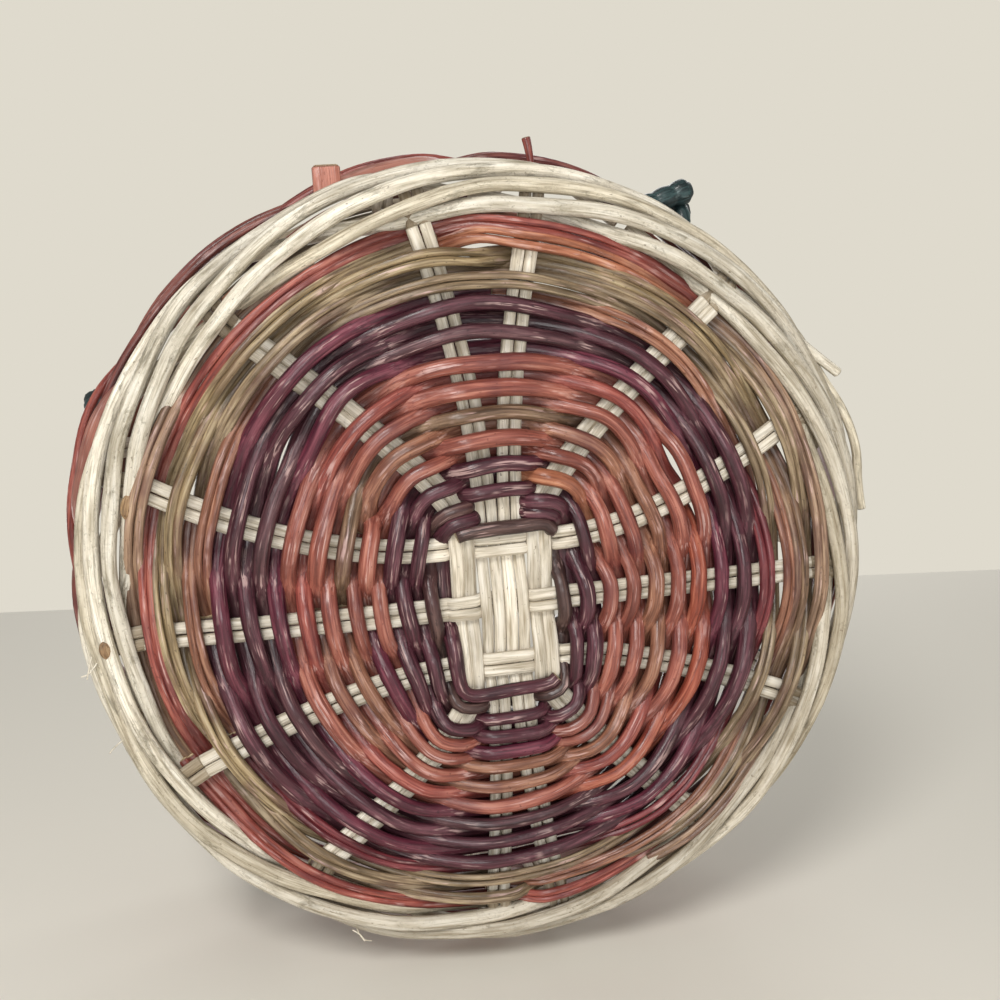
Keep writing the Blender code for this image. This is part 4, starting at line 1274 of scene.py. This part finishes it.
def loose_ends():
    low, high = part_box("splint_end_tab")
    middle = (low + high) / 2.0
    out = Vector((cos(TAB_ANGLE), sin(TAB_ANGLE), 0.0))
    line = []
    for k in range(13):
        share = k / 12.0
        line.append(Vector((middle.x + 0.0020, middle.y + 0.0008, low.z + 0.0010))
                    + out * (0.0092 * (share - 0.5))
                    + Vector((0.0, 0.0, 0.0012 * share * share)))
    piece = Rods("splint_end")
    piece.add(line, [Vector((0.0, 0.0, 1.0))] * 13, [TAB_WIDTH / 2.0] * 13, "splint", 720,
              sides=16, flat=SPLINT_THICKNESS / TAB_WIDTH, square=6.0, knots=0.0, crest=-1.0)
    piece.finish(["splint_end_tab"])
    low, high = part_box("loose_rod_end")
    middle = (low + high) / 2.0
    out = Vector((cos(ROD_END_ANGLE), sin(ROD_END_ANGLE), 0.0))
    across = Vector((-out.y, out.x, 0.0))
    line = []
    radii = []
    for k in range(13):
        share = k / 12.0
        line.append(middle + out * (0.012 * (share - 0.5)) + across * (0.0012 * share * (1.0 - share)))
        radii.append(0.0011 + 0.0005 * share)
    piece = Rods("red_rod_end")
    piece.add(line, [Vector((0.0, 0.0, 1.0))] * 13, radii, "red", 730, sides=10,
              crest=-1.0)
    piece.finish(["loose_rod_end"])


# Stage, light and camera

def one_sided(name, colour):
    """A surface that is there only for what looks at its front."""
    g = Graph(name)
    g.shader.inputs["Base Color"].default_value = rgb(*colour)
    g.shader.inputs["Roughness"].default_value = 0.9
    g.shader.inputs["Specular IOR Level"].default_value = 0.1
    clear = g.tree.nodes.new("ShaderNodeBsdfTransparent")
    facing = g.tree.nodes.new("ShaderNodeNewGeometry")
    mix = g.tree.nodes.new("ShaderNodeMixShader")
    g.put(facing.outputs["Backfacing"], mix.inputs[0])
    g.put(g.shader.outputs[0], mix.inputs[1])
    g.put(clear.outputs[0], mix.inputs[2])
    g.put(mix.outputs[0], g.output.inputs["Surface"])
    return g.material


def plane(name, corners, material):
    mesh = bpy.data.meshes.new(name)
    mesh.from_pydata(corners, [], [tuple(range(len(corners)))])
    mesh.materials.append(material)
    made = bpy.data.objects.new(name, mesh)
    bpy.context.scene.collection.objects.link(made)
    made.visible_shadow = False
    return made


def area_lamp(name, place, target, size, power, colour=(1.0, 1.0, 1.0)):
    lamp = bpy.data.lights.new(name, "AREA")
    lamp.shape = "DISK"
    lamp.size = size
    lamp.energy = power
    lamp.color = colour
    made = bpy.data.objects.new(name, lamp)
    made.location = place
    made.rotation_euler = (Vector(target) - Vector(place)).to_track_quat("-Z", "Y").to_euler()
    made.visible_camera = False
    bpy.context.scene.collection.objects.link(made)
    return made


def stage():
    pale = one_sided("pale_floor", (226, 222, 212))
    reach = 3.0
    floor = plane("floor", [(-reach, -reach, 0.0), (reach, -reach, 0.0), (reach, reach, 0.0),
                            (-reach, reach, 0.0)], pale)
    floor.visible_diffuse = False
    floor.visible_glossy = False
    table = CAD_LOW.y - 0.0005
    near, far = -1.2, 0.6
    plane("table", [(reach, table, near), (-reach, table, near), (-reach, table, far),
                    (reach, table, far)], pale)
    world = bpy.data.worlds.new("room")
    bpy.context.scene.world = world
    world.use_nodes = True
    nodes, links = world.node_tree.nodes, world.node_tree.links
    light = nodes["Background"]
    light.inputs["Color"].default_value = rgb(250, 248, 242)
    light.inputs["Strength"].default_value = 0.28
    seen = nodes.new("ShaderNodeBackground")
    seen.inputs["Color"].default_value = rgb(223, 218, 205)
    seen.inputs["Strength"].default_value = 1.0
    path = nodes.new("ShaderNodeLightPath")
    mix = nodes.new("ShaderNodeMixShader")
    links.new(path.outputs["Is Camera Ray"], mix.inputs[0])
    links.new(light.outputs[0], mix.inputs[1])
    links.new(seen.outputs[0], mix.inputs[2])
    links.new(mix.outputs[0], nodes["World Output"].inputs["Surface"])
    area_lamp("key", (0.42, 0.74, -0.75), (0.0, 0.0, 0.0), 0.4, 8.4, (1.0, 0.98, 0.95))
    area_lamp("front", (0.10, 0.12, -0.70), (0.0, 0.0, 0.0), 0.25, 1.9)
    area_lamp("fill", (-0.7, -0.2, -0.8), (0.0, 0.0, 0.0), 1.0, 2.6, (1.0, 0.97, 0.93))
    area_lamp("overhead", (0.4, -0.5, 1.6), (0.0, 0.0, 0.05), 1.4, 18.0)
    area_lamp("overhead_back", (-0.5, 0.7, 1.3), (0.0, 0.0, 0.05), 1.2, 9.0)


def camera():
    ahead = CAMERA_AHEAD.normalized()
    up = Vector((0.0, 1.0, 0.0))
    right = ahead.cross(up).normalized()
    up = right.cross(ahead)
    eye = bpy.data.cameras.new("camera")
    eye.sensor_width = SENSOR
    eye.lens = LENS
    eye.clip_start = 0.01
    made = bpy.data.objects.new("camera", eye)
    made.matrix_world = Matrix((
        (right.x, up.x, -ahead.x, CAMERA_PLACE.x),
        (right.y, up.y, -ahead.y, CAMERA_PLACE.y),
        (right.z, up.z, -ahead.z, CAMERA_PLACE.z),
        (0.0, 0.0, 0.0, 1.0)))
    bpy.context.scene.collection.objects.link(made)
    bpy.context.scene.camera = made


def main():
    bpy.context.scene.view_settings.view_transform = "Standard"
    camera()
    stage()
    base_sticks()
    base_weave()
    foot_wale()
    side_stakes()
    splint_bands()
    wall_weavers()
    upper_rods()
    rim()
    lug_loops()
    loose_ends()


main()
